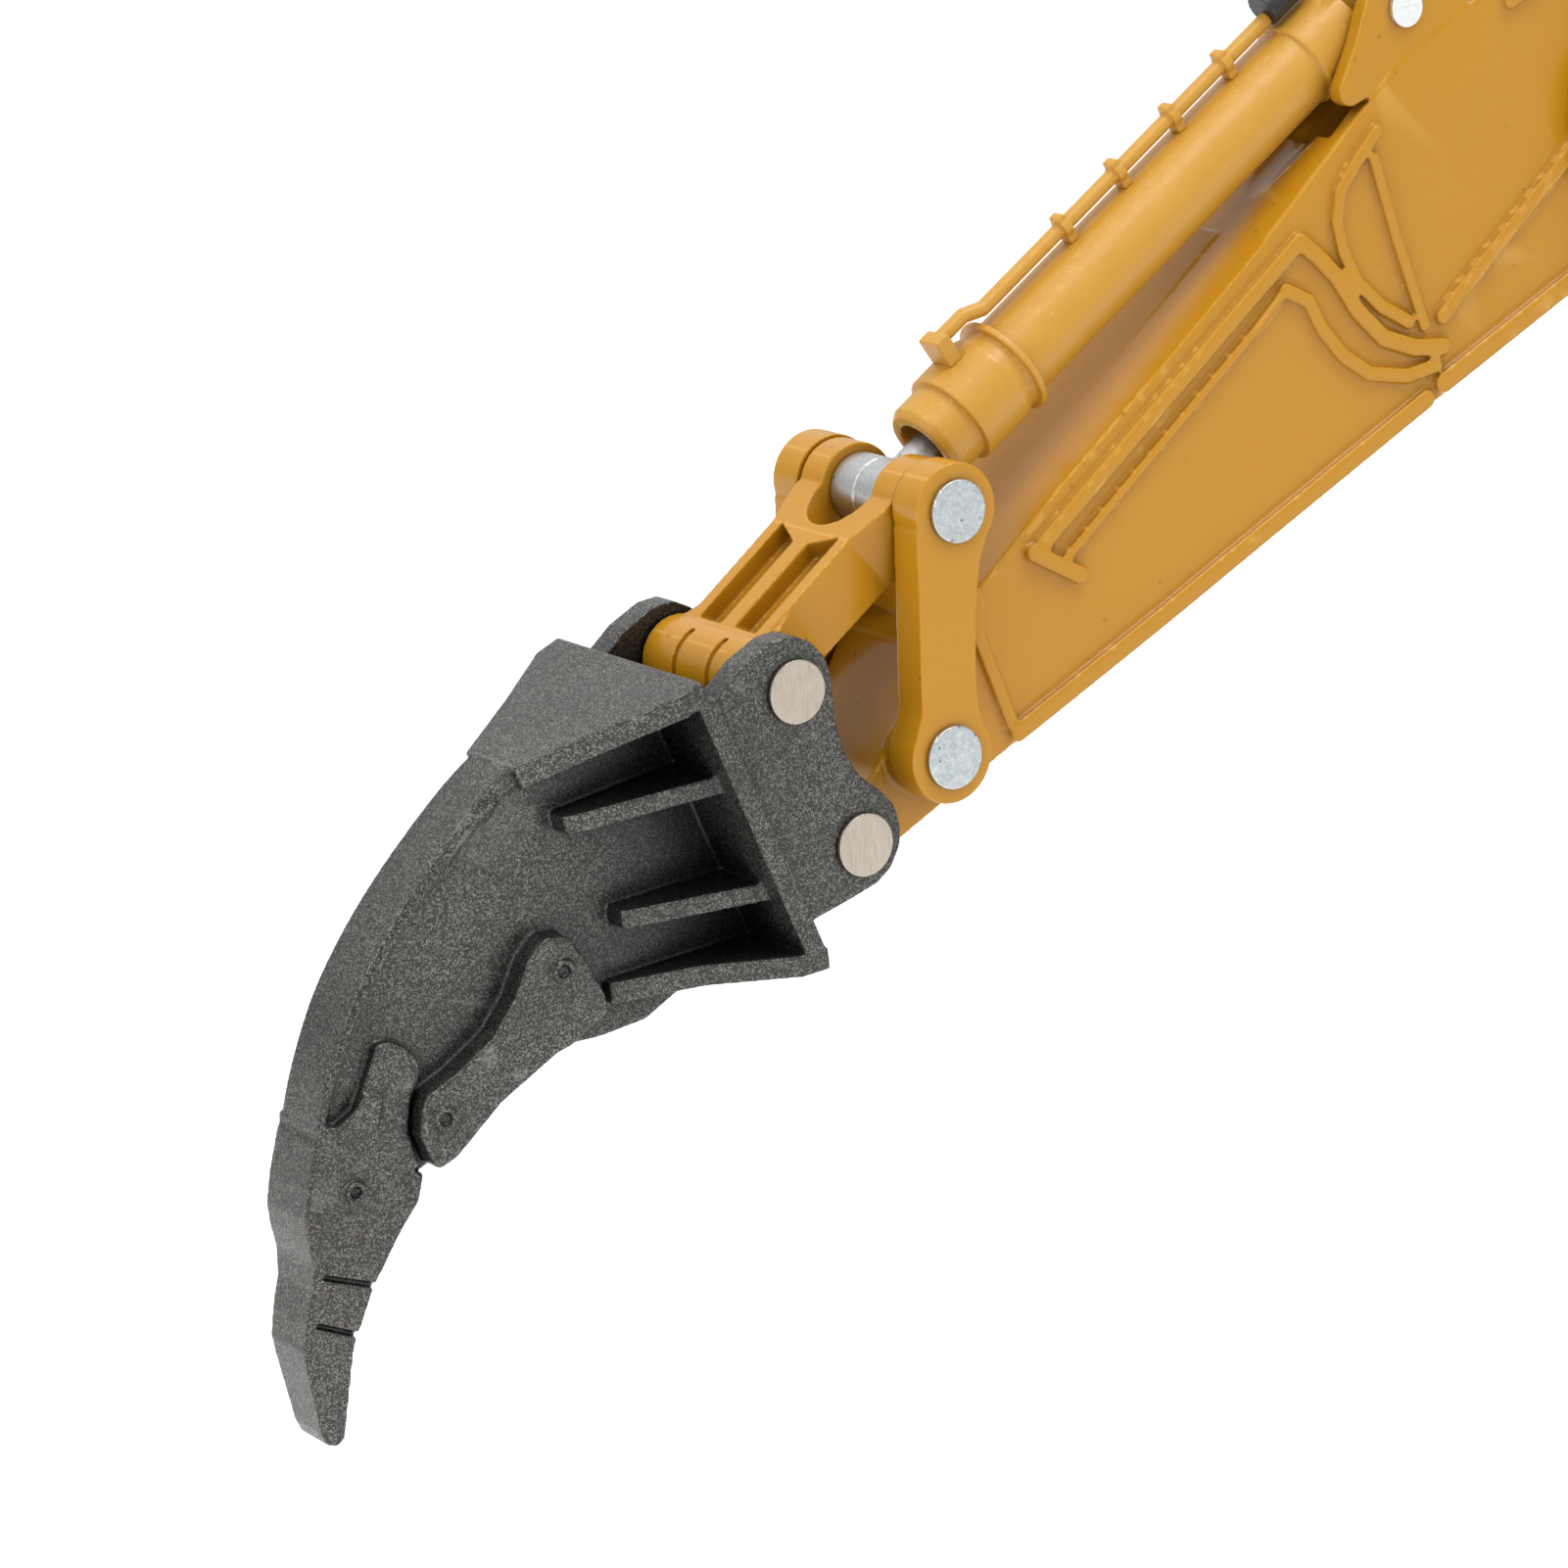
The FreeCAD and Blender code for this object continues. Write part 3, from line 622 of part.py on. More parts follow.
# cab: shell with openings, glass panes, seat
cab_side = [(6.0, DECK_Z1), (43.0, DECK_Z1), (44.5, 40.0), (43.0, 52.0), (37.5, 64.0), (34.0, CAB_TOP), (10.0, CAB_TOP), (6.0, 63.0)]
cab_o = prism(cab_side, [0.2, 3, 8, 8, 3, 2, 3, 2], CAB_Y0, CAB_Y1)
cab_i = prism([(7.2, DECK_Z1+1.2), (41.8, DECK_Z1+1.2), (43.2, 40.0), (41.8, 51.8), (36.7, 63.0), (33.6, 64.6), (10.4, 64.6), (7.2, 62.2)], [0.2, 2, 7, 7, 2, 1.5, 2, 1.5], CAB_Y0+1.2, CAB_Y1-1.2)
cab = cab_o.cut(cab_i)
# door window (two panes), front screen, rear and inner side windows
w1 = prism([(23.6, 46.0), (40.6, 44.5), (40.4, 51.0), (35.8, 61.8), (23.6, 62.2)], 1.0, 20, 40)
w1b = prism([(24.2, 33.5), (40.0, 33.5), (41.2, 40.0), (41.0, 43.0), (24.2, 44.2)], 1.2, 20, 40)
w2 = prism([(9.2, 44.0), (21.4, 44.0), (21.4, 62.2), (10.8, 62.2), (9.2, 60.8)], 1.0, 20, 40)
w3 = prism([(10.0, 44.0), (39.0, 44.0), (39.4, 51.0), (35.4, 62.2), (11.2, 62.2), (10.0, 61.0)], 1.0, 5, 20)
w4 = box(30, 50, CAB_Y0+2.0, CAB_Y1-2.0, 35.0, 62.4)
w5 = box(0, 8.5, CAB_Y0+2.4, CAB_Y1-2.4, 45.0, 61.5)
w6 = zprism([(14, CAB_Y0+3), (30, CAB_Y0+3), (30, CAB_Y1-3), (14, CAB_Y1-3)], 1.2, 64.0, 68.0)
front_cut = w4.common(prism([(36.0, 34.9), (50, 34.9), (50, 62.6), (36.0, 62.6)], 0.1, 0, 50))
cab = cab.cut([w1, w1b, w2, w3, front_cut, w5, w6])
cab = fuse(cab, box(22.0, 23.2, CAB_Y1-1.0, CAB_Y1+0.3, 31.0, 63.5))
cab = max(cab.Solids, key=lambda s: s.Volume)
put("cab_shell", cab)
sh_o = prism([(6.45, DECK_Z1+.6), (42.5, DECK_Z1+.6), (44.0, 40.0), (42.5, 51.9), (37.2, 63.5), (33.8, 65.4), (10.2, 65.4), (6.45, 62.7)], [0.2, 2.5, 7.5, 7.5, 2.5, 1.8, 2.5, 1.8], CAB_Y0+0.45, CAB_Y1-0.45)
sh_i = prism([(7.0, DECK_Z1+1.1), (42.0, DECK_Z1+1.1), (43.4, 40.0), (42.0, 51.8), (36.85, 63.2), (33.65, 64.8), (10.4, 64.8), (7.0, 62.3)], [0.2, 2, 7, 7, 2, 1.5, 2, 1.5], CAB_Y0+1.0, CAB_Y1-1.0)
skin = sh_o.cut(sh_i)
def pane(win): 
    s = skin.common(win)
    return s.Solids
glass = []
for w in (w1, w1b, w2, w3, front_cut, w5, w6):
    glass += pane(w)
group("cab_glass", glass)
seat = fuse(box(13.5, 23.0, 16.5, 25.5, DECK_Z1+1.2, 38.0), prism([(12.0, 38.0), (14.5, 38.0), (12.6, 52.0), (10.2, 52.0)], 0.6, 16.8, 25.2), box(13.0, 24.0, 16.2, 25.8, 37.5, 40.0),
            box(15.0, 25.0, 13.4, 15.6, DECK_Z1+1.2, 42.5), box(15.0, 25.0, 26.0, 28.2, DECK_Z1+1.2, 42.5))
put("cab_seat", seat)
# electronics inside the hood
put("battery", zprism([(-53.0, -22.0), (-29.0, -22.0), (-29.0, 4.0), (-53.0, 4.0)], 1.0, DECK_Z1, 42.0))
board = fuse(box(-52.0, -30.0, 8.0, 26.0, 33.0, 34.2), box(-46.0, -40.0, 12.0, 18.0, 34.2, 35.6), box(-37.0, -33.0, 20.0, 25.0, 34.2, 37.2), box(-51.0, -47.5, 10.0, 24.0, 34.2, 38.2),
             cz(-50, 10, 1.0, 30.0, 33.1), cz(-32, 10, 1.0, 30.0, 33.1), cz(-50, 24, 1.0, 30.0, 33.1), cz(-32, 24, 1.0, 30.0, 33.1))
put("control_board", board)
sm = fuse(box(px0-5.5, px0+5.5, py0-4.5, py0+4.5, DECK_Z1, 38.5), cz(px0, py0, 4.4, 38.4, 49.5), cz(px0, py0, 1.0, 49.4, 50.6)).cut(cz(px0, py0, 0.95, 29, 33))
put("slew_motor", sm)
# power switch and charging socket, in the left skirt wall under the hood
put("power_switch", fuse(box(-20.0, -10.0, 24.9, 27.9, 31.0, 34.6), box(-21.0, -9.0, 27.9, 28.7, 30.6, 35.0)).cut(box(-18.2, -11.8, 26.9, 29.2, 31.9, 33.7)))
put("switch_slider", fuse(box(-17.9, -14.9, 27.1, 29.2, 32.05, 33.55), box(-17.1, -15.7, 29.0, 30.9, 32.05, 33.55)))
NODES["engine_hood"] = NODES["engine_hood"].cut([box(-18.3, -11.7, 26, 32, 31.6, 34.0), Part.makeCylinder(2.1, 8, V(-26.0, 26, 32.9), V(0, 1, 0))])
sock = fuse(Part.makeCylinder(2.05, 6.2, V(-26.0, 24.2, 32.9), V(0, 1, 0)), box(-28.6, -23.4, 24.2, 28.5, 30.1, 35.6)).cut(Part.makeCylinder(1.1, 5.0, V(-26.0, 26.0, 32.9), V(0, 1, 0)))
sock = fuse(sock, Part.makeCylinder(0.35, 5.0, V(-26.0, 24.6, 32.9), V(0, 1, 0)))
put("charge_socket", sock)
# handrails, bent from thin wire
def rail(pts, r):
    s = []
    for i in range(len(pts)-1):
        s.append(rod(pts[i], pts[i+1], r))
    for p in pts[1:-1]:
        s.append(Part.makeSphere(r, V(*p)))
    return fuse(*s)
rails = [rail([(2.0, -28.5, 49.0), (2.0, -28.5, 58.0), (15.0, -28.5, 58.0), (15.0, -28.5, 49.0)], 0.4),
         rail([(20.0, -28.5, 41.0), (20.0, -28.5, 50.0), (29.4, -28.5, 47.0), (29.4, -28.5, 41.0)], 0.4),
         rail([(-28.0, 28.6, 56.4), (-28.0, 28.6, 62.0), (-54.0, 28.6, 62.0), (-54.0, 28.6, 56.4)], 0.4),
         rail([(-28.0, -28.6, 56.4), (-28.0, -28.6, 62.0), (-54.0, -28.6, 62.0), (-54.0, -28.6, 56.4)], 0.4),
         rail([(23.6, 30.0, 38.0), (23.6, 31.6, 38.0), (23.6, 31.6, 47.0), (23.6, 30.0, 47.0)], 0.35)]
group("handrails", rails)
mirrors = [fuse(rail([(32.0, -28.6, 39.5), (32.4, -29.6, 46.0), (33.8, -30.5, 50.0)], 0.35), zprism([(33.4, -33.0), (34.3, -33.0), (34.3, -28.4), (33.4, -28.4)], 0.3, 48.0, 55.0)),
           fuse(rail([(36.5, 30.05, 60.6), (39.0, 32.0, 60.8), (39.0, 32.0, 57.0)], 0.35), zprism([(38.5, 30.4), (39.4, 30.4), (39.4, 33.8), (38.5, 33.8)], 0.3, 51.5, 58.0))]
mirrors = [m.cut(cab) for m in mirrors]
group("mirrors", mirrors)
# screws that hold the house down, from below
scr = []
for x, y in ((-50, 20), (-50, -20), (14, 24), (14, -24)):
    scr.append(fuse(cz(x, y, 1.9, 25.0, 26.0), cz(x, y, 0.9, 25.5, 29.8)).cut(box(x-1.4, x+1.4, y-0.25, y+0.25, 24.5, 25.5)))
NODES["deck"] = NODES["deck"].cut([cz(x, y, 0.95, 24, 29.9) for x, y in ((-50, 20), (-50, -20), (14, 24), (14, -24))])
group("house_screws", scr)

# ----------------------------------------------------------------- write out
box_all = None
for name, s in NODES.items():
    s = s.copy(); s.translate(V(X_SHIFT, 0, 0))
    if not s.isValid():
        print("INVALID", name)
    s.exportStep("parts/%s.step" % name)
    b = s.BoundBox
    box_all = b if box_all is None else box_all.united(b)
    print("%-28s solids %d vol %9.1f  x %.2f..%.2f y %.2f..%.2f z %.2f..%.2f" % (name, len(s.Solids), s.Volume, b.XMin, b.XMax, b.YMin, b.YMax, b.ZMin, b.ZMax))
print("ALL", box_all)
def out(n, p): print("PIN", n, round(p[0]+X_SHIFT, 4), round(p[1], 4))
for n, p in (("D", M((0, 0))), ("A", M(PIN_A)), ("B", M(PIN_B)), ("C", M(PIN_C)), ("G", M(PIN_G)), ("NOSE", N), ("LEVER", LM), ("FOOT", F), ("BOOM_BASE", BOOM_BASE), ("BOOM_ROD", BOOM_ROD_PIN), ("ARM_BASE", ARM_BASE), ("PINION", (px0, 0))):
    out(n, p)
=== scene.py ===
import json
import math

import bmesh
import bpy
import numpy as np
from mathutils import Matrix, Vector


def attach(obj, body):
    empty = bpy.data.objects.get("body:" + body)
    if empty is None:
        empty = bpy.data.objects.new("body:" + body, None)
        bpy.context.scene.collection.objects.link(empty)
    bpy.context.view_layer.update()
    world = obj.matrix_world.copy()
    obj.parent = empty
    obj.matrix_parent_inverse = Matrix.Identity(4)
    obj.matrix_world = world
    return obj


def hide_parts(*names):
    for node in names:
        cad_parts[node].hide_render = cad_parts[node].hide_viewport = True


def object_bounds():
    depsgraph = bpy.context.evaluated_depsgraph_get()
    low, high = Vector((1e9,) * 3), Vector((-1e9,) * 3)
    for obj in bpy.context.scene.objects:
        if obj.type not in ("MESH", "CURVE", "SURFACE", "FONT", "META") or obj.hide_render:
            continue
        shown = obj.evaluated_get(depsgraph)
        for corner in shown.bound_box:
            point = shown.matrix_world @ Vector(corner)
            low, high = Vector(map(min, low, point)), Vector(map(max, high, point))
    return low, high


# 1:50 radio-control crawler excavator with a riveted single-shank ripper.
# Everything is in metres, in the row frame: +X forward, +Y cab side, +Z up.

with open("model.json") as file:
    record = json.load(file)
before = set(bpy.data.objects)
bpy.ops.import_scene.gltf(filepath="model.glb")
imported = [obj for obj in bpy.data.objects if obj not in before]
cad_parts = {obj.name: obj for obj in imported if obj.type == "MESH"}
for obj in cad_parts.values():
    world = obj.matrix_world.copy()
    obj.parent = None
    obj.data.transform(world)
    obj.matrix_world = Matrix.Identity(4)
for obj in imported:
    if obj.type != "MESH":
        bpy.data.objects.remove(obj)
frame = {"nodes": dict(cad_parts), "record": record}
NODES = frame["nodes"]
BODY_OF = {n: b for b, ns in frame["record"]["behaviour"]["bodies"].items() for n in ns}
SLOT_OF = {s["node"]: s["material_slot"] for s in frame["record"]["subparts"]}
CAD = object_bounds()
scene = bpy.context.scene


def lin(r, g, b):
    def f(c):
        c /= 255.0
        return c / 12.92 if c <= 0.04045 else ((c + 0.055) / 1.055) ** 2.4
    return (f(r), f(g), f(b), 1.0)


# ------------------------------------------------------------------ materials
class Mat:
    """A node material with object coordinates in millimetres."""

    def __init__(self, name):
        self.m = bpy.data.materials.new(name)
        self.m.use_nodes = True
        self.t = self.m.node_tree
        self.t.nodes.clear()
        self.out = self.n("ShaderNodeOutputMaterial")
        self.bsdf = self.n("ShaderNodeBsdfPrincipled")
        self.l(self.bsdf.outputs[0], self.out.inputs["Surface"])
        tc = self.n("ShaderNodeTexCoord")
        mp = self.n("ShaderNodeMapping")
        mp.inputs["Scale"].default_value = (1000, 1000, 1000)
        self.l(tc.outputs["Object"], mp.inputs["Vector"])
        self.co = mp.outputs["Vector"]
        self.normal = None

    def n(self, kind, **kw):
        node = self.t.nodes.new(kind)
        for k, v in kw.items():
            setattr(node, k, v)
        return node

    def l(self, a, b):
        self.t.links.new(a, b)

    def set(self, **kw):
        names = {"rough": "Roughness", "metal": "Metallic", "coat": "Coat Weight", "coat_rough": "Coat Roughness",
                 "spec": "Specular IOR Level", "ior": "IOR", "sss": "Subsurface Weight", "alpha": "Alpha",
                 "trans": "Transmission Weight", "sheen": "Sheen Weight", "aniso": "Anisotropic", "color": "Base Color",
                 "sss_scale": "Subsurface Scale", "sss_radius": "Subsurface Radius", "coat_ior": "Coat IOR"}
        for k, v in kw.items():
            self.bsdf.inputs[names[k]].default_value = v

    def noise(self, scale, detail=3.0, rough=0.55, dist=0.0, vec=None):
        t = self.n("ShaderNodeTexNoise")
        t.inputs["Scale"].default_value = scale
        t.inputs["Detail"].default_value = detail
        t.inputs["Roughness"].default_value = rough
        t.inputs["Distortion"].default_value = dist
        self.l(vec or self.co, t.inputs["Vector"])
        return t.outputs["Fac"]

    def voronoi(self, scale, feature="F1", out="Distance", rand=1.0, vec=None):
        t = self.n("ShaderNodeTexVoronoi")
        t.feature = feature
        t.inputs["Scale"].default_value = scale
        t.inputs["Randomness"].default_value = rand
        self.l(vec or self.co, t.inputs["Vector"])
        return t.outputs[out]

    def ramp(self, fac, stops, interp="LINEAR"):
        r = self.n("ShaderNodeValToRGB")
        r.color_ramp.interpolation = interp
        e = r.color_ramp.elements
        while len(e) > 1:
            e.remove(e[-1])
        e[0].position = stops[0][0]
        e[0].color = self._c(stops[0][1])
        for p, c in stops[1:]:
            k = e.new(p)
            k.color = self._c(c)
        self.l(fac, r.inputs["Fac"])
        return r.outputs["Color"]

    @staticmethod
    def _c(c):
        return (c, c, c, 1.0) if isinstance(c, (int, float)) else tuple(c)

    def mix(self, fac, a, b, mode="MIX"):
        m = self.n("ShaderNodeMix", data_type="RGBA", blend_type=mode)
        for sock, v in ((m.inputs[0], fac), (m.inputs[6], a), (m.inputs[7], b)):
            if hasattr(v, "is_output") or hasattr(v, "links"):
                self.l(v, sock)
            elif isinstance(v, (int, float)):
                sock.default_value = v if sock == m.inputs[0] else (v, v, v, 1)
            else:
                sock.default_value = v
        return m.outputs[2]

    def math(self, op, a, b=0.0, clamp=False):
        m = self.n("ShaderNodeMath", operation=op, use_clamp=clamp)
        for i, v in enumerate((a, b)):
            if hasattr(v, "links"):
                self.l(v, m.inputs[i])
            else:
                m.inputs[i].default_value = v
        return m.outputs[0]

    def rng(self, v, a, b, c, d):
        m = self.n("ShaderNodeMapRange")
        m.inputs["From Min"].default_value = a
        m.inputs["From Max"].default_value = b
        m.inputs["To Min"].default_value = c
        m.inputs["To Max"].default_value = d
        self.l(v, m.inputs["Value"])
        return m.outputs["Result"]

    def shade_mask(self, dist):
        """ambient-occlusion mask for painted shade: 1 in tight hollows and where parts meet, 0 in the open; dist in
        metres
        """
        a = self.n("ShaderNodeAmbientOcclusion")
        a.samples = 6
        a.inputs["Distance"].default_value = dist
        return self.rng(a.outputs["AO"], 0.25, 0.92, 1.0, 0.0)

    def point(self):
        return self.n("ShaderNodeNewGeometry").outputs["Pointiness"]

    def bump(self, height, strength, dist):
        b = self.n("ShaderNodeBump")
        b.inputs["Strength"].default_value = strength
        b.inputs["Distance"].default_value = dist
        self.l(height, b.inputs["Height"])
        if self.normal is not None:
            self.l(self.normal, b.inputs["Normal"])
        self.normal = b.outputs["Normal"]

    def done(self):
        if self.normal is not None:
            self.l(self.normal, self.bsdf.inputs["Normal"])
        return self.m


def stretch(mat, sx, sy, sz):
    mp = mat.n("ShaderNodeMapping")
    mp.inputs["Scale"].default_value = (sx, sy, sz)
    mat.l(mat.co, mp.inputs["Vector"])
    return mp.outputs["Vector"]


def yellow_paint(name="yellow_paint"):
    """sprayed enamel over die-cast: darker in the corners, partly paint pooling there and partly painted shade, painted
    shade in hollows, and a painted highlight on the edges
    """
    m = Mat(name)
    base, shade_tone, highlight_tone = lin(182, 128, 22), lin(112, 66, 5), lin(206, 158, 74)
    big = m.ramp(m.noise(0.11, 2, 0.5), [(0.3, 0.0), (0.7, 1.0)])
    c = m.mix(m.math("MULTIPLY", big, 0.22), base, lin(174, 121, 20))
    pt = m.point()
    # darker in concave creases: partly paint pooled in the corners, partly painted shade
    c = m.mix(m.ramp(pt, [(0.40, 1.0), (0.49, 0.0)]), c, shade_tone)
    # painted shade in hollows and where parts meet
    c = m.mix(m.math("MULTIPLY", m.shade_mask(0.0022), 0.75), c, shade_tone)
    # painted highlight on convex edges
    c = m.mix(m.math("MULTIPLY", m.ramp(pt, [(0.52, 0.0), (0.64, 1.0)]), 0.45), c, highlight_tone)
    # a few pinholes and mould specks
    sp = m.ramp(m.voronoi(0.42), [(0.035, 1.0), (0.07, 0.0)])
    c = m.mix(m.math("MULTIPLY", sp, 0.45), c, lin(120, 72, 6))
    m.l(c, m.bsdf.inputs["Base Color"])
    m.set(rough=0.24, spec=0.36, coat=0.06, coat_rough=0.06, metal=0.0)
    r = m.rng(m.noise(1.7, 4, 0.6), 0.3, 0.7, 0.17, 0.28)
    m.l(r, m.bsdf.inputs["Roughness"])
    m.bump(m.noise(0.45, 3, 0.5), 0.16, 0.00008)
    m.bump(m.noise(3.2, 2, 0.5), 0.06, 0.00002)
    m.bump(sp, -0.35, 0.00004)
    return m.done()


def yellow_plastic(name="yellow_plastic"):
    """self-coloured injection moulding, slightly see-through, satin"""
    m = Mat(name)
    base, highlight_tone, shade_tone = lin(190, 142, 50), lin(206, 164, 84), lin(160, 98, 12)
    pt = m.point()
    big = m.noise(0.35, 3, 0.55)
    c = m.mix(m.rng(big, 0.3, 0.7, 0.0, 0.35), base, lin(182, 130, 38))
    # painted shade in concave creases
    c = m.mix(m.ramp(pt, [(0.42, 1.0), (0.487, 0.0)]), c, shade_tone)
    # painted shade in hollows and where parts meet
    c = m.mix(m.math("MULTIPLY", m.shade_mask(0.0016), 0.45), c, shade_tone)
    # painted highlight on convex edges
    c = m.mix(m.math("MULTIPLY", m.ramp(pt, [(0.56, 0.0), (0.68, 1.0)]), 0.35), c, highlight_tone)
    m.l(c, m.bsdf.inputs["Base Color"])
    m.set(rough=0.3, spec=0.45, sss=0.12, sss_scale=0.0009, sss_radius=(1.0, 0.55, 0.12))
    r = m.rng(m.noise(2.6, 4, 0.6), 0.3, 0.7, 0.27, 0.42)
    m.l(r, m.bsdf.inputs["Roughness"])
    m.bump(m.noise(0.45, 3, 0.5), 0.35, 0.00010)
    m.bump(m.noise(6.0, 2, 0.5), 0.12, 0.00001)
    return m.done()


def black_paint(name="black_paint"):
    """satin black with fine metal flake, partly painted as glints; lighter along the edges, partly paint rubbed off and
    partly a painted highlight; painted shade in creases and hollows
    """
    m = Mat(name)
    base = lin(37, 36, 34)
    flake = m.voronoi(15.0, out="Color")
    sep = m.n("ShaderNodeSeparateColor")
    m.l(flake, sep.inputs[0])
    flake_and_glint = m.ramp(sep.outputs[0], [(0.52, 0.0), (0.98, 1.0)])
    fine = m.noise(16.0, 2, 0.6)
    # bright flake specks: partly the metal flake's own colour, partly painted glints
    c = m.mix(m.math("MULTIPLY", flake_and_glint, 0.70), base, lin(168, 165, 159))
    c = m.mix(m.rng(fine, 0.35, 0.65, 0.0, 0.55), c, lin(66, 64, 62))
    patch = m.rng(m.noise(0.16, 3, 0.5), 0.35, 0.65, 0.0, 0.30)
    c = m.mix(patch, c, lin(40, 38, 37))
    pt = m.point()
    # lighter edge lines: partly paint rubbed off, partly a painted highlight along the edges
    edge = m.ramp(pt, [(0.545, 0.0), (0.64, 1.0)])
    wear_and_highlight = m.rng(m.noise(2.2, 5, 0.75), 0.38, 0.58, 0.05, 1.0)
    w = m.math("MULTIPLY", edge, wear_and_highlight)
    c = m.mix(m.math("MULTIPLY", w, 0.45), c, lin(150, 148, 143))
    # painted shade in concave creases
    c = m.mix(m.ramp(pt, [(0.42, 1.0), (0.494, 0.0)]), c, lin(11, 11, 10))
    # painted shade in hollows and where parts meet, broad and tight
    c = m.mix(m.math("MULTIPLY", m.shade_mask(0.016), 0.45), c, lin(16, 15, 14))
    c = m.mix(m.math("MULTIPLY", m.shade_mask(0.0065), 0.9), c, lin(8, 8, 7))
    m.l(c, m.bsdf.inputs["Base Color"])
    m.set(metal=0.35, spec=0.5)
    r = m.rng(sep.outputs[1], 0.0, 1.0, 0.20, 0.46)
    m.l(r, m.bsdf.inputs["Roughness"])
    m.bump(m.noise(12.0, 3, 0.6), 0.35, 0.00002)
    m.bump(m.noise(1.1, 3, 0.5), 0.25, 0.00005)
    return m.done()


def zinc(name="zinc_pin"):
    """zinc plating: crystal grain, small dents, painted highlight on the rim"""
    m = Mat(name)
    cell = m.voronoi(3.2, out="Color")
    sep = m.n("ShaderNodeSeparateColor")
    m.l(cell, sep.inputs[0])
    g = m.noise(7.0, 4, 0.7)
    c = m.mix(m.rng(sep.outputs[0], 0, 1, 0.0, 0.55), lin(206, 211, 212), lin(176, 184, 188))
    c = m.mix(m.rng(g, 0.35, 0.62, 0.0, 0.55), c, lin(150, 159, 164))
    pt = m.point()
    # painted highlight on the convex rim
    c = m.mix(m.ramp(pt, [(0.53, 0.0), (0.62, 1.0)]), c, lin(244, 246, 247))
    spot = m.ramp(m.voronoi(0.9), [(0.05, 1.0), (0.10, 0.0)])
    c = m.mix(m.math("MULTIPLY", spot, 0.7), c, lin(86, 90, 92))
    m.l(c, m.bsdf.inputs["Base Color"])
    m.set(metal=1.0)
    r = m.rng(sep.outputs[1], 0, 1, 0.30, 0.52)
    m.l(r, m.bsdf.inputs["Roughness"])
    m.bump(m.noise(3.6, 4, 0.65), 0.45, 0.00004)
    m.bump(m.voronoi(3.2), 0.18, 0.00003)
    return m.done()


def nickel(name="nickel_pin"):
    """warm nickel, drawn along one way and lightly scratched"""
    m = Mat(name)
    v = stretch(m, 9.0, 9.0, 1.0)
    g = m.noise(1.0, 5, 0.65, vec=v)
    c = m.mix(m.rng(g, 0.35, 0.65, 0.0, 0.6), lin(188, 178, 165), lin(165, 155, 142))
    big = m.rng(m.noise(0.9, 3, 0.5), 0.3, 0.7, 0.0, 0.35)
    c = m.mix(big, c, lin(174, 163, 149))
    m.l(c, m.bsdf.inputs["Base Color"])
    m.set(metal=1.0)
    r = m.rng(g, 0.3, 0.7, 0.26, 0.44)
    m.l(r, m.bsdf.inputs["Roughness"])
    m.bump(g, 0.25, 0.00003)
    m.bump(m.noise(1.6, 3, 0.5), 0.30, 0.00005)
    return m.done()


def steel(name="rod_steel"):
    """turned steel rod"""
    m = Mat(name)
    g = m.noise(3.0, 5, 0.7, vec=stretch(m, 1.0, 4.0, 1.0))
    c = m.mix(m.rng(g, 0.3, 0.7, 0.0, 0.7), lin(206, 208, 209), lin(150, 153, 156))
    c = m.mix(m.ramp(m.voronoi(1.4), [(0.06, 0.8), (0.13, 0.0)]), c, lin(110, 112, 114))
    m.l(c, m.bsdf.inputs["Base Color"])
    m.set(metal=1.0)
    m.l(m.rng(g, 0.3, 0.7, 0.30, 0.50), m.bsdf.inputs["Roughness"])
    m.bump(m.noise(4.5, 4, 0.6), 0.4, 0.00004)
    return m.done()


def brass(name="brass"):
    m = Mat(name)
    g = m.noise(5.0, 4, 0.6)
    c = m.mix(m.rng(g, 0.3, 0.7, 0.0, 0.6), lin(214, 178, 96), lin(176, 136, 62))
    m.l(c, m.bsdf.inputs["Base Color"])
    m.set(metal=1.0)
    m.l(m.rng(g, 0.3, 0.7, 0.25, 0.42), m.bsdf.inputs["Roughness"])
    m.bump(m.noise(8.0, 3, 0.5), 0.2, 0.00002)
    return m.done()


def plain(name, base, dark, light, rough, grain, strength, spec=0.5, coat=0.0, wear=0.4, metal=0.0):
    """moulded or sprayed surface with grain, patchy gloss and paler edges"""
    m = Mat(name)
    g = m.noise(grain, 3, 0.6)
    c = m.mix(m.rng(m.noise(0.15, 3, 0.5), 0.35, 0.65, 0.0, 0.4), base, dark)
    c = m.mix(m.rng(g, 0.4, 0.7, 0.0, 0.3), c, light)
    pt = m.point()
    c = m.mix(m.math("MULTIPLY", m.ramp(pt, [(0.52, 0.0), (0.62, 1.0)]), wear), c, light)
    # painted shade in concave creases
    c = m.mix(m.math("MULTIPLY", m.ramp(pt, [(0.38, 1.0), (0.48, 0.0)]), 0.7), c, dark)
    m.l(c, m.bsdf.inputs["Base Color"])
    m.set(spec=spec, coat=coat, coat_rough=0.12, metal=metal)
    m.l(m.rng(m.noise(grain * 0.6, 3, 0.6), 0.3, 0.7, rough - 0.07, rough + 0.08), m.bsdf.inputs["Roughness"])
    m.bump(g, strength, 0.00003)
    m.bump(m.noise(0.6, 2, 0.5), 0.18, 0.00006)
    return m.done()


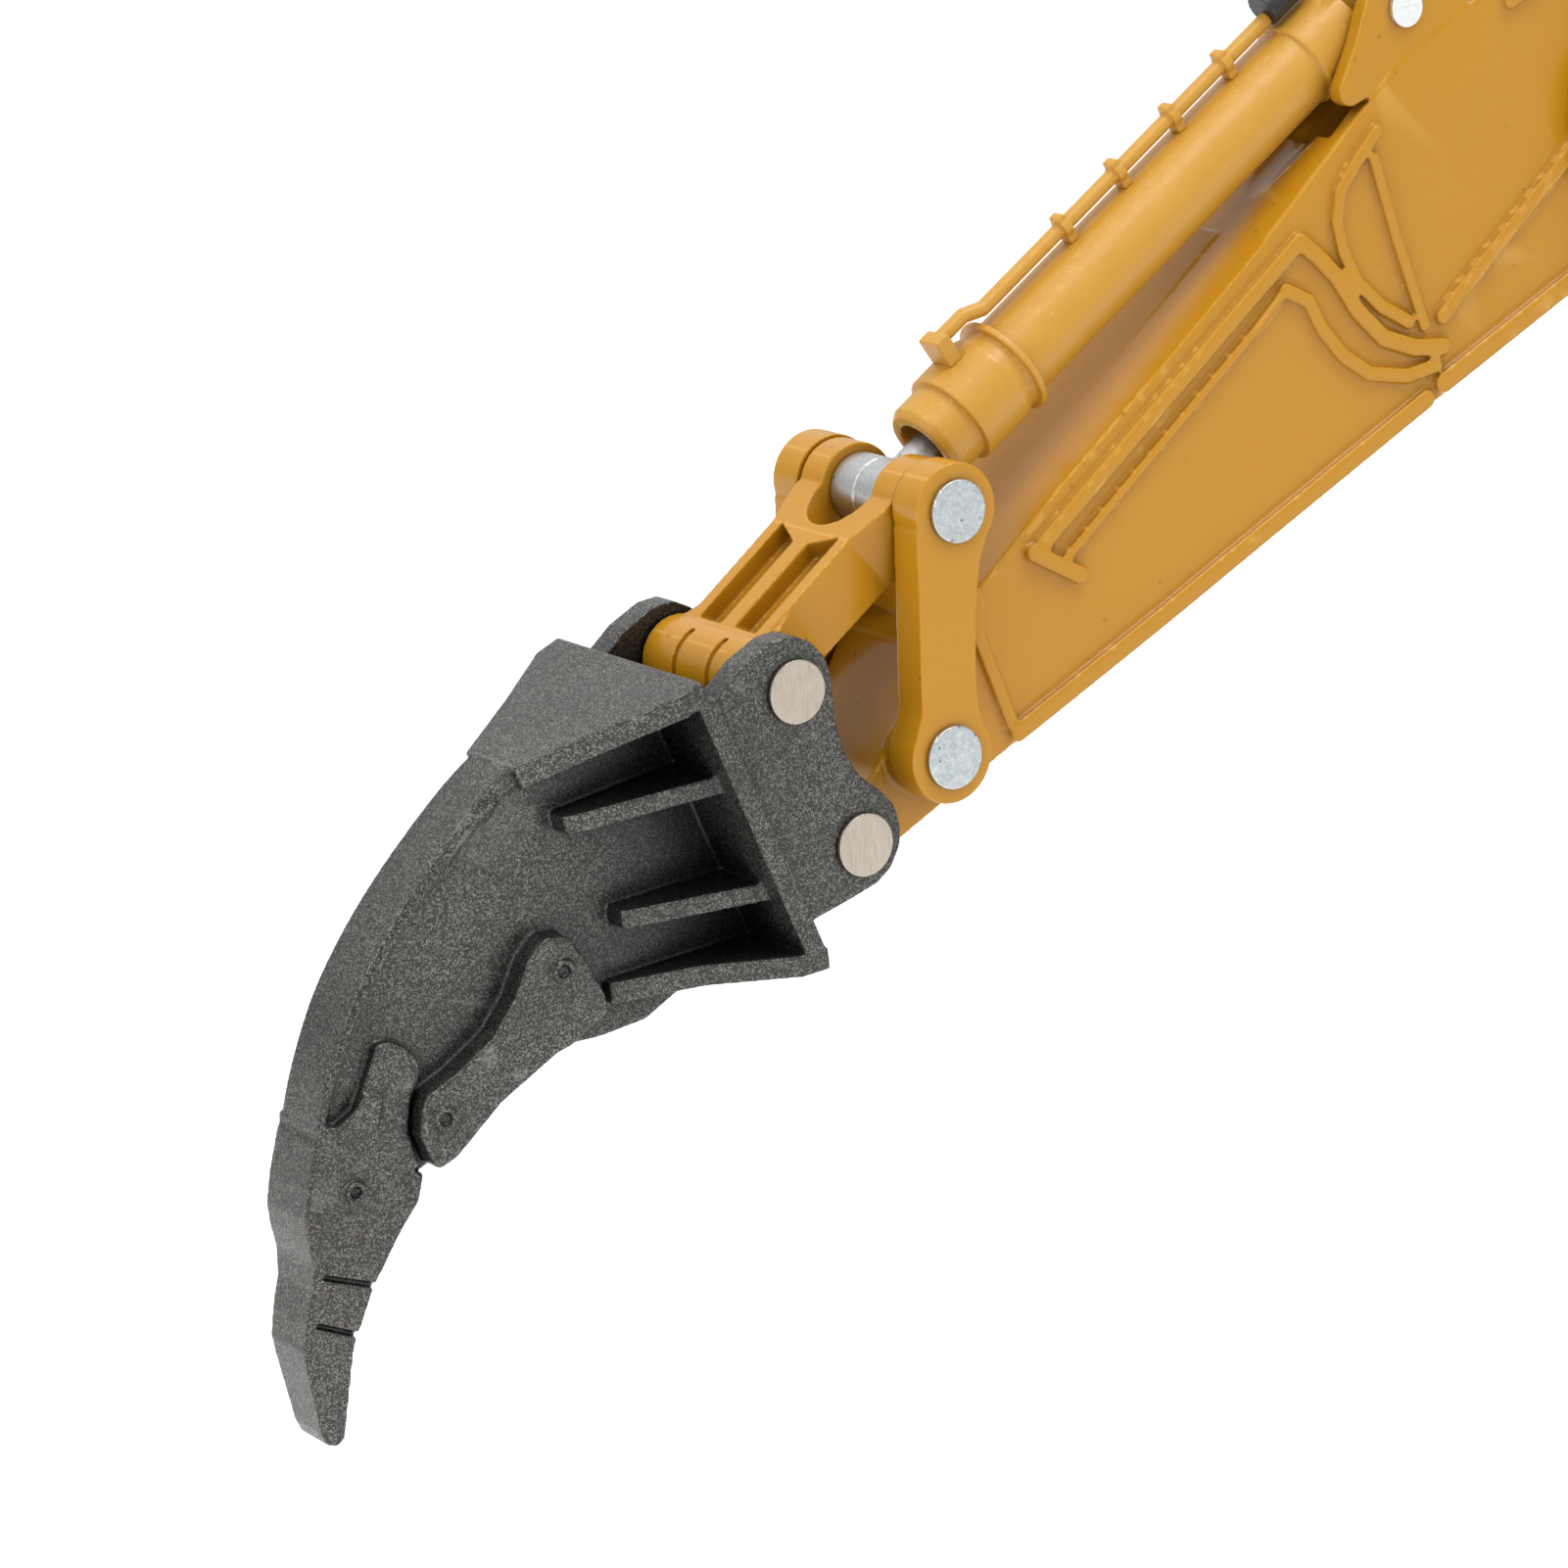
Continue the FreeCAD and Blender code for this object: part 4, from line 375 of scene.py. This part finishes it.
def rubber(name="track_rubber"):
    m = Mat(name)
    g = m.noise(4.0, 5, 0.7)
    c = m.mix(m.rng(g, 0.35, 0.65, 0.0, 0.8), lin(38, 37, 36), lin(58, 56, 54))
    pt = m.point()
    dust = m.math("MULTIPLY", m.ramp(pt, [(0.52, 0.0), (0.60, 1.0)]), m.rng(m.noise(0.8, 4, 0.6), 0.4, 0.6, 0.1, 0.7))
    c = m.mix(dust, c, lin(98, 94, 88))
    # painted shade in concave creases
    c = m.mix(m.ramp(pt, [(0.38, 0.8), (0.48, 0.0)]), c, lin(20, 19, 18))
    m.l(c, m.bsdf.inputs["Base Color"])
    m.set(spec=0.35)
    m.l(m.rng(g, 0.3, 0.7, 0.52, 0.72), m.bsdf.inputs["Roughness"])
    m.bump(g, 0.4, 0.00005)
    return m.done()


def glass(name="clear_glass"):
    m = Mat(name)
    g = m.noise(0.2, 3, 0.5)
    m.l(m.mix(m.rng(g, 0.3, 0.7, 0.0, 1.0), lin(196, 208, 208), lin(180, 196, 198)), m.bsdf.inputs["Base Color"])
    m.set(trans=0.85, ior=1.45, alpha=1.0)
    m.l(m.rng(m.noise(1.2, 3, 0.6), 0.3, 0.7, 0.03, 0.09), m.bsdf.inputs["Roughness"])
    m.bump(m.noise(0.5, 2, 0.5), 0.06, 0.00004)
    return m.done()


MATS = {
    "yellow_paint": yellow_paint(),
    "black_paint": black_paint(),
    "yellow_plastic": yellow_plastic(),
    "zinc_pin": zinc(),
    "nickel_pin": nickel(),
    "rod_steel": steel(),
    "brass": brass(),
    "track_rubber": rubber(),
    "clear_glass": glass(),
    "grey_paint": plain("grey_paint", lin(62, 62, 63), lin(42, 42, 43), lin(104, 104, 104), 0.40, 5.0, 0.25, coat=0.15, wear=0.5, metal=0.1),
    "black_plastic": plain("black_plastic", lin(28, 28, 29), lin(16, 16, 17), lin(60, 60, 62), 0.44, 6.0, 0.3),
    "grey_plastic": plain("grey_plastic", lin(80, 81, 83), lin(56, 57, 59), lin(120, 121, 123), 0.48, 6.0, 0.3),
    "board_green": plain("board_green", lin(24, 92, 52), lin(14, 64, 36), lin(60, 140, 90), 0.35, 3.0, 0.15, coat=0.3),
}


def paint(obj, slot_name):
    obj.data.materials.clear()
    obj.data.materials.append(MATS[slot_name])


# ------------------------------------------------------------------ cast pieces
def evaluated(ob):
    dg = bpy.context.evaluated_depsgraph_get()
    return bpy.data.meshes.new_from_object(ob.evaluated_get(dg), depsgraph=dg)


def cast(node, voxel, soften, faces=190000, name=None, extra=()):
    """A softened skin of a CAD node: every edge gets the small radius of a casting.
    voxel in millimetres; soften is the number of smoothing passes."""
    src = NODES[node]
    me = src.data.copy()
    me.materials.clear()
    me.transform(Matrix.Scale(1000, 4))
    bm = bmesh.new()
    bm.from_mesh(me)
    for e in extra:
        bm.from_mesh(e)
    bmesh.ops.remove_doubles(bm, verts=bm.verts, dist=1e-5)
    bm.to_mesh(me)
    bm.free()
    ob = bpy.data.objects.new(name or node + "_skin", me)
    scene.collection.objects.link(ob)
    v = voxel * 1.0
    mod = ob.modifiers.new("r", "REMESH")
    mod.mode = "VOXEL"
    mod.voxel_size = v
    mod.use_smooth_shade = True
    sm = ob.modifiers.new("s", "SMOOTH")
    sm.factor = 0.5
    sm.iterations = soften
    new = evaluated(ob)
    n = len(new.polygons)
    ob.modifiers.clear()
    ob.data = new
    if n > faces:
        d = ob.modifiers.new("d", "DECIMATE")
        d.ratio = faces / (2.0 * n)          # the target is in triangles
        d.use_collapse_triangulate = False
        new = evaluated(ob)
        ob.modifiers.clear()
        ob.data = new
    ob.data.transform(Matrix.Scale(0.001, 4))
    ob.data.name = ob.name
    for p in ob.data.polygons:
        p.use_smooth = True
    paint(ob, SLOT_OF[node])
    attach(ob, BODY_OF[node])
    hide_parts(node)
    print("cast", node, n, "->", len(ob.data.polygons))
    return ob


def bevelled(node, width, segments=2, angle=32):
    """A CAD node that keeps its mesh and gets fine edge radii."""
    ob = NODES[node]
    for p in ob.data.polygons:
        p.use_smooth = True
    b = ob.modifiers.new("edge", "BEVEL")
    b.width = width / 1000
    b.segments = segments
    b.limit_method = "ANGLE"
    b.angle_limit = math.radians(angle)
    b.use_clamp_overlap = True
    b.harden_normals = True
    b.miter_outer = "MITER_ARC"
    w = ob.modifiers.new("wn", "WEIGHTED_NORMAL")
    w.keep_sharp = True
    paint(ob, SLOT_OF[node])
    return ob


CAST = {
    "ripper": (0.085, 7), "h_link": (0.07, 8), "idler_link_left": (0.07, 8), "idler_link_right": (0.07, 8),
    "ripper_cylinder_barrel": (0.08, 8), "ripper_cylinder_pipe": (0.05, 5), "ripper_cylinder_elbow": (0.06, 4),
    "arm": (0.11, 6), "boom": (0.22, 4), "boom_cylinder_barrels": (0.16, 4), "arm_cylinder_barrel": (0.13, 4),
    "link_rivet": (0.05, 4), "idler_pivot_rivet": (0.05, 4), "ripper_rivets": (0.05, 4), "ripper_cylinder_rod": (0.06, 3),
}
for n, (v, s) in CAST.items():
    cast(n, v, s)
for n, ob in NODES.items():
    if n in CAST:
        continue
    bevelled(n, 0.12)

# ------------------------------------------------------------------ stage, light, camera
def floor():
    me = bpy.data.meshes.new("floor")
    s = 6.0
    me.from_pydata([(-s, -s, 0), (s, -s, 0), (s, s, 0), (-s, s, 0)], [], [(0, 1, 2, 3)])
    ob = bpy.data.objects.new("floor", me)
    scene.collection.objects.link(ob)
    ob.location.z = CAD[0][2] - 0.00005
    m = bpy.data.materials.new("floor")
    m.use_nodes = True
    b = m.node_tree.nodes["Principled BSDF"]
    b.inputs["Base Color"].default_value = (0.93, 0.93, 0.93, 1)
    b.inputs["Roughness"].default_value = 0.9
    b.inputs["Specular IOR Level"].default_value = 0.1
    me.materials.append(m)
    return ob


floor()

world = bpy.data.worlds.new("studio")
scene.world = world
world.use_nodes = True
nt = world.node_tree
nt.nodes.clear()
wo = nt.nodes.new("ShaderNodeOutputWorld")
bg = nt.nodes.new("ShaderNodeBackground")
tc = nt.nodes.new("ShaderNodeTexCoord")
sep = nt.nodes.new("ShaderNodeSeparateXYZ")
rp = nt.nodes.new("ShaderNodeValToRGB")
nt.links.new(tc.outputs["Generated"], sep.inputs[0])
nt.links.new(sep.outputs["Z"], rp.inputs["Fac"])
nt.links.new(rp.outputs["Color"], bg.inputs["Color"])
nt.links.new(bg.outputs[0], wo.inputs["Surface"])
e = rp.color_ramp.elements
e[0].position, e[0].color = 0.0, (0.30, 0.30, 0.30, 1)
e[1].position, e[1].color = 0.9, (1.0, 1.0, 1.0, 1)
bg.inputs["Strength"].default_value = 1.42

TARGET = Vector((0.098, 0.0, 0.078))


def area(name, loc, size, power, size_y=None, color=(1, 1, 1), target=TARGET):
    d = bpy.data.lights.new(name, "AREA")
    d.shape = "RECTANGLE"
    d.size = size
    d.size_y = size_y or size
    d.energy = power
    d.color = color
    ob = bpy.data.objects.new(name, d)
    scene.collection.objects.link(ob)
    ob.location = loc
    ob.rotation_euler = (target - Vector(loc)).to_track_quat("-Z", "Y").to_euler()
    return ob


area("top", (0.02, 0.22, 0.72), 0.34, 1.9, 0.26)
area("left", (0.72, 0.16, 0.42), 0.30, 1.0)
area("back", (-0.55, -0.50, 0.45), 0.35, 0.9)

cam_d = bpy.data.cameras.new("camera")
cam = bpy.data.objects.new("camera", cam_d)
scene.collection.objects.link(cam)
cam_d.sensor_width = 36
cam_d.lens = 125.81
cam_d.clip_start = 0.01
cam_d.clip_end = 50
AZ, EL = math.radians(146.261), math.radians(12.832)
back = Vector((math.sin(AZ) * math.cos(EL), -math.cos(AZ) * math.cos(EL), math.sin(EL)))
PIN = Vector(next(j["pos_m"] for j in frame["record"]["behaviour"]["joints"] if j["name"] == "ripper_curl"))
cam.location = PIN + Vector((0.155176, 0.231402, 0.065409))
cam.rotation_euler = (-back).to_track_quat("-Z", "Y").to_euler()
scene.camera = cam

scene.view_settings.view_transform = "Standard"
scene.view_settings.look = "None"
scene.view_settings.exposure = 0.0
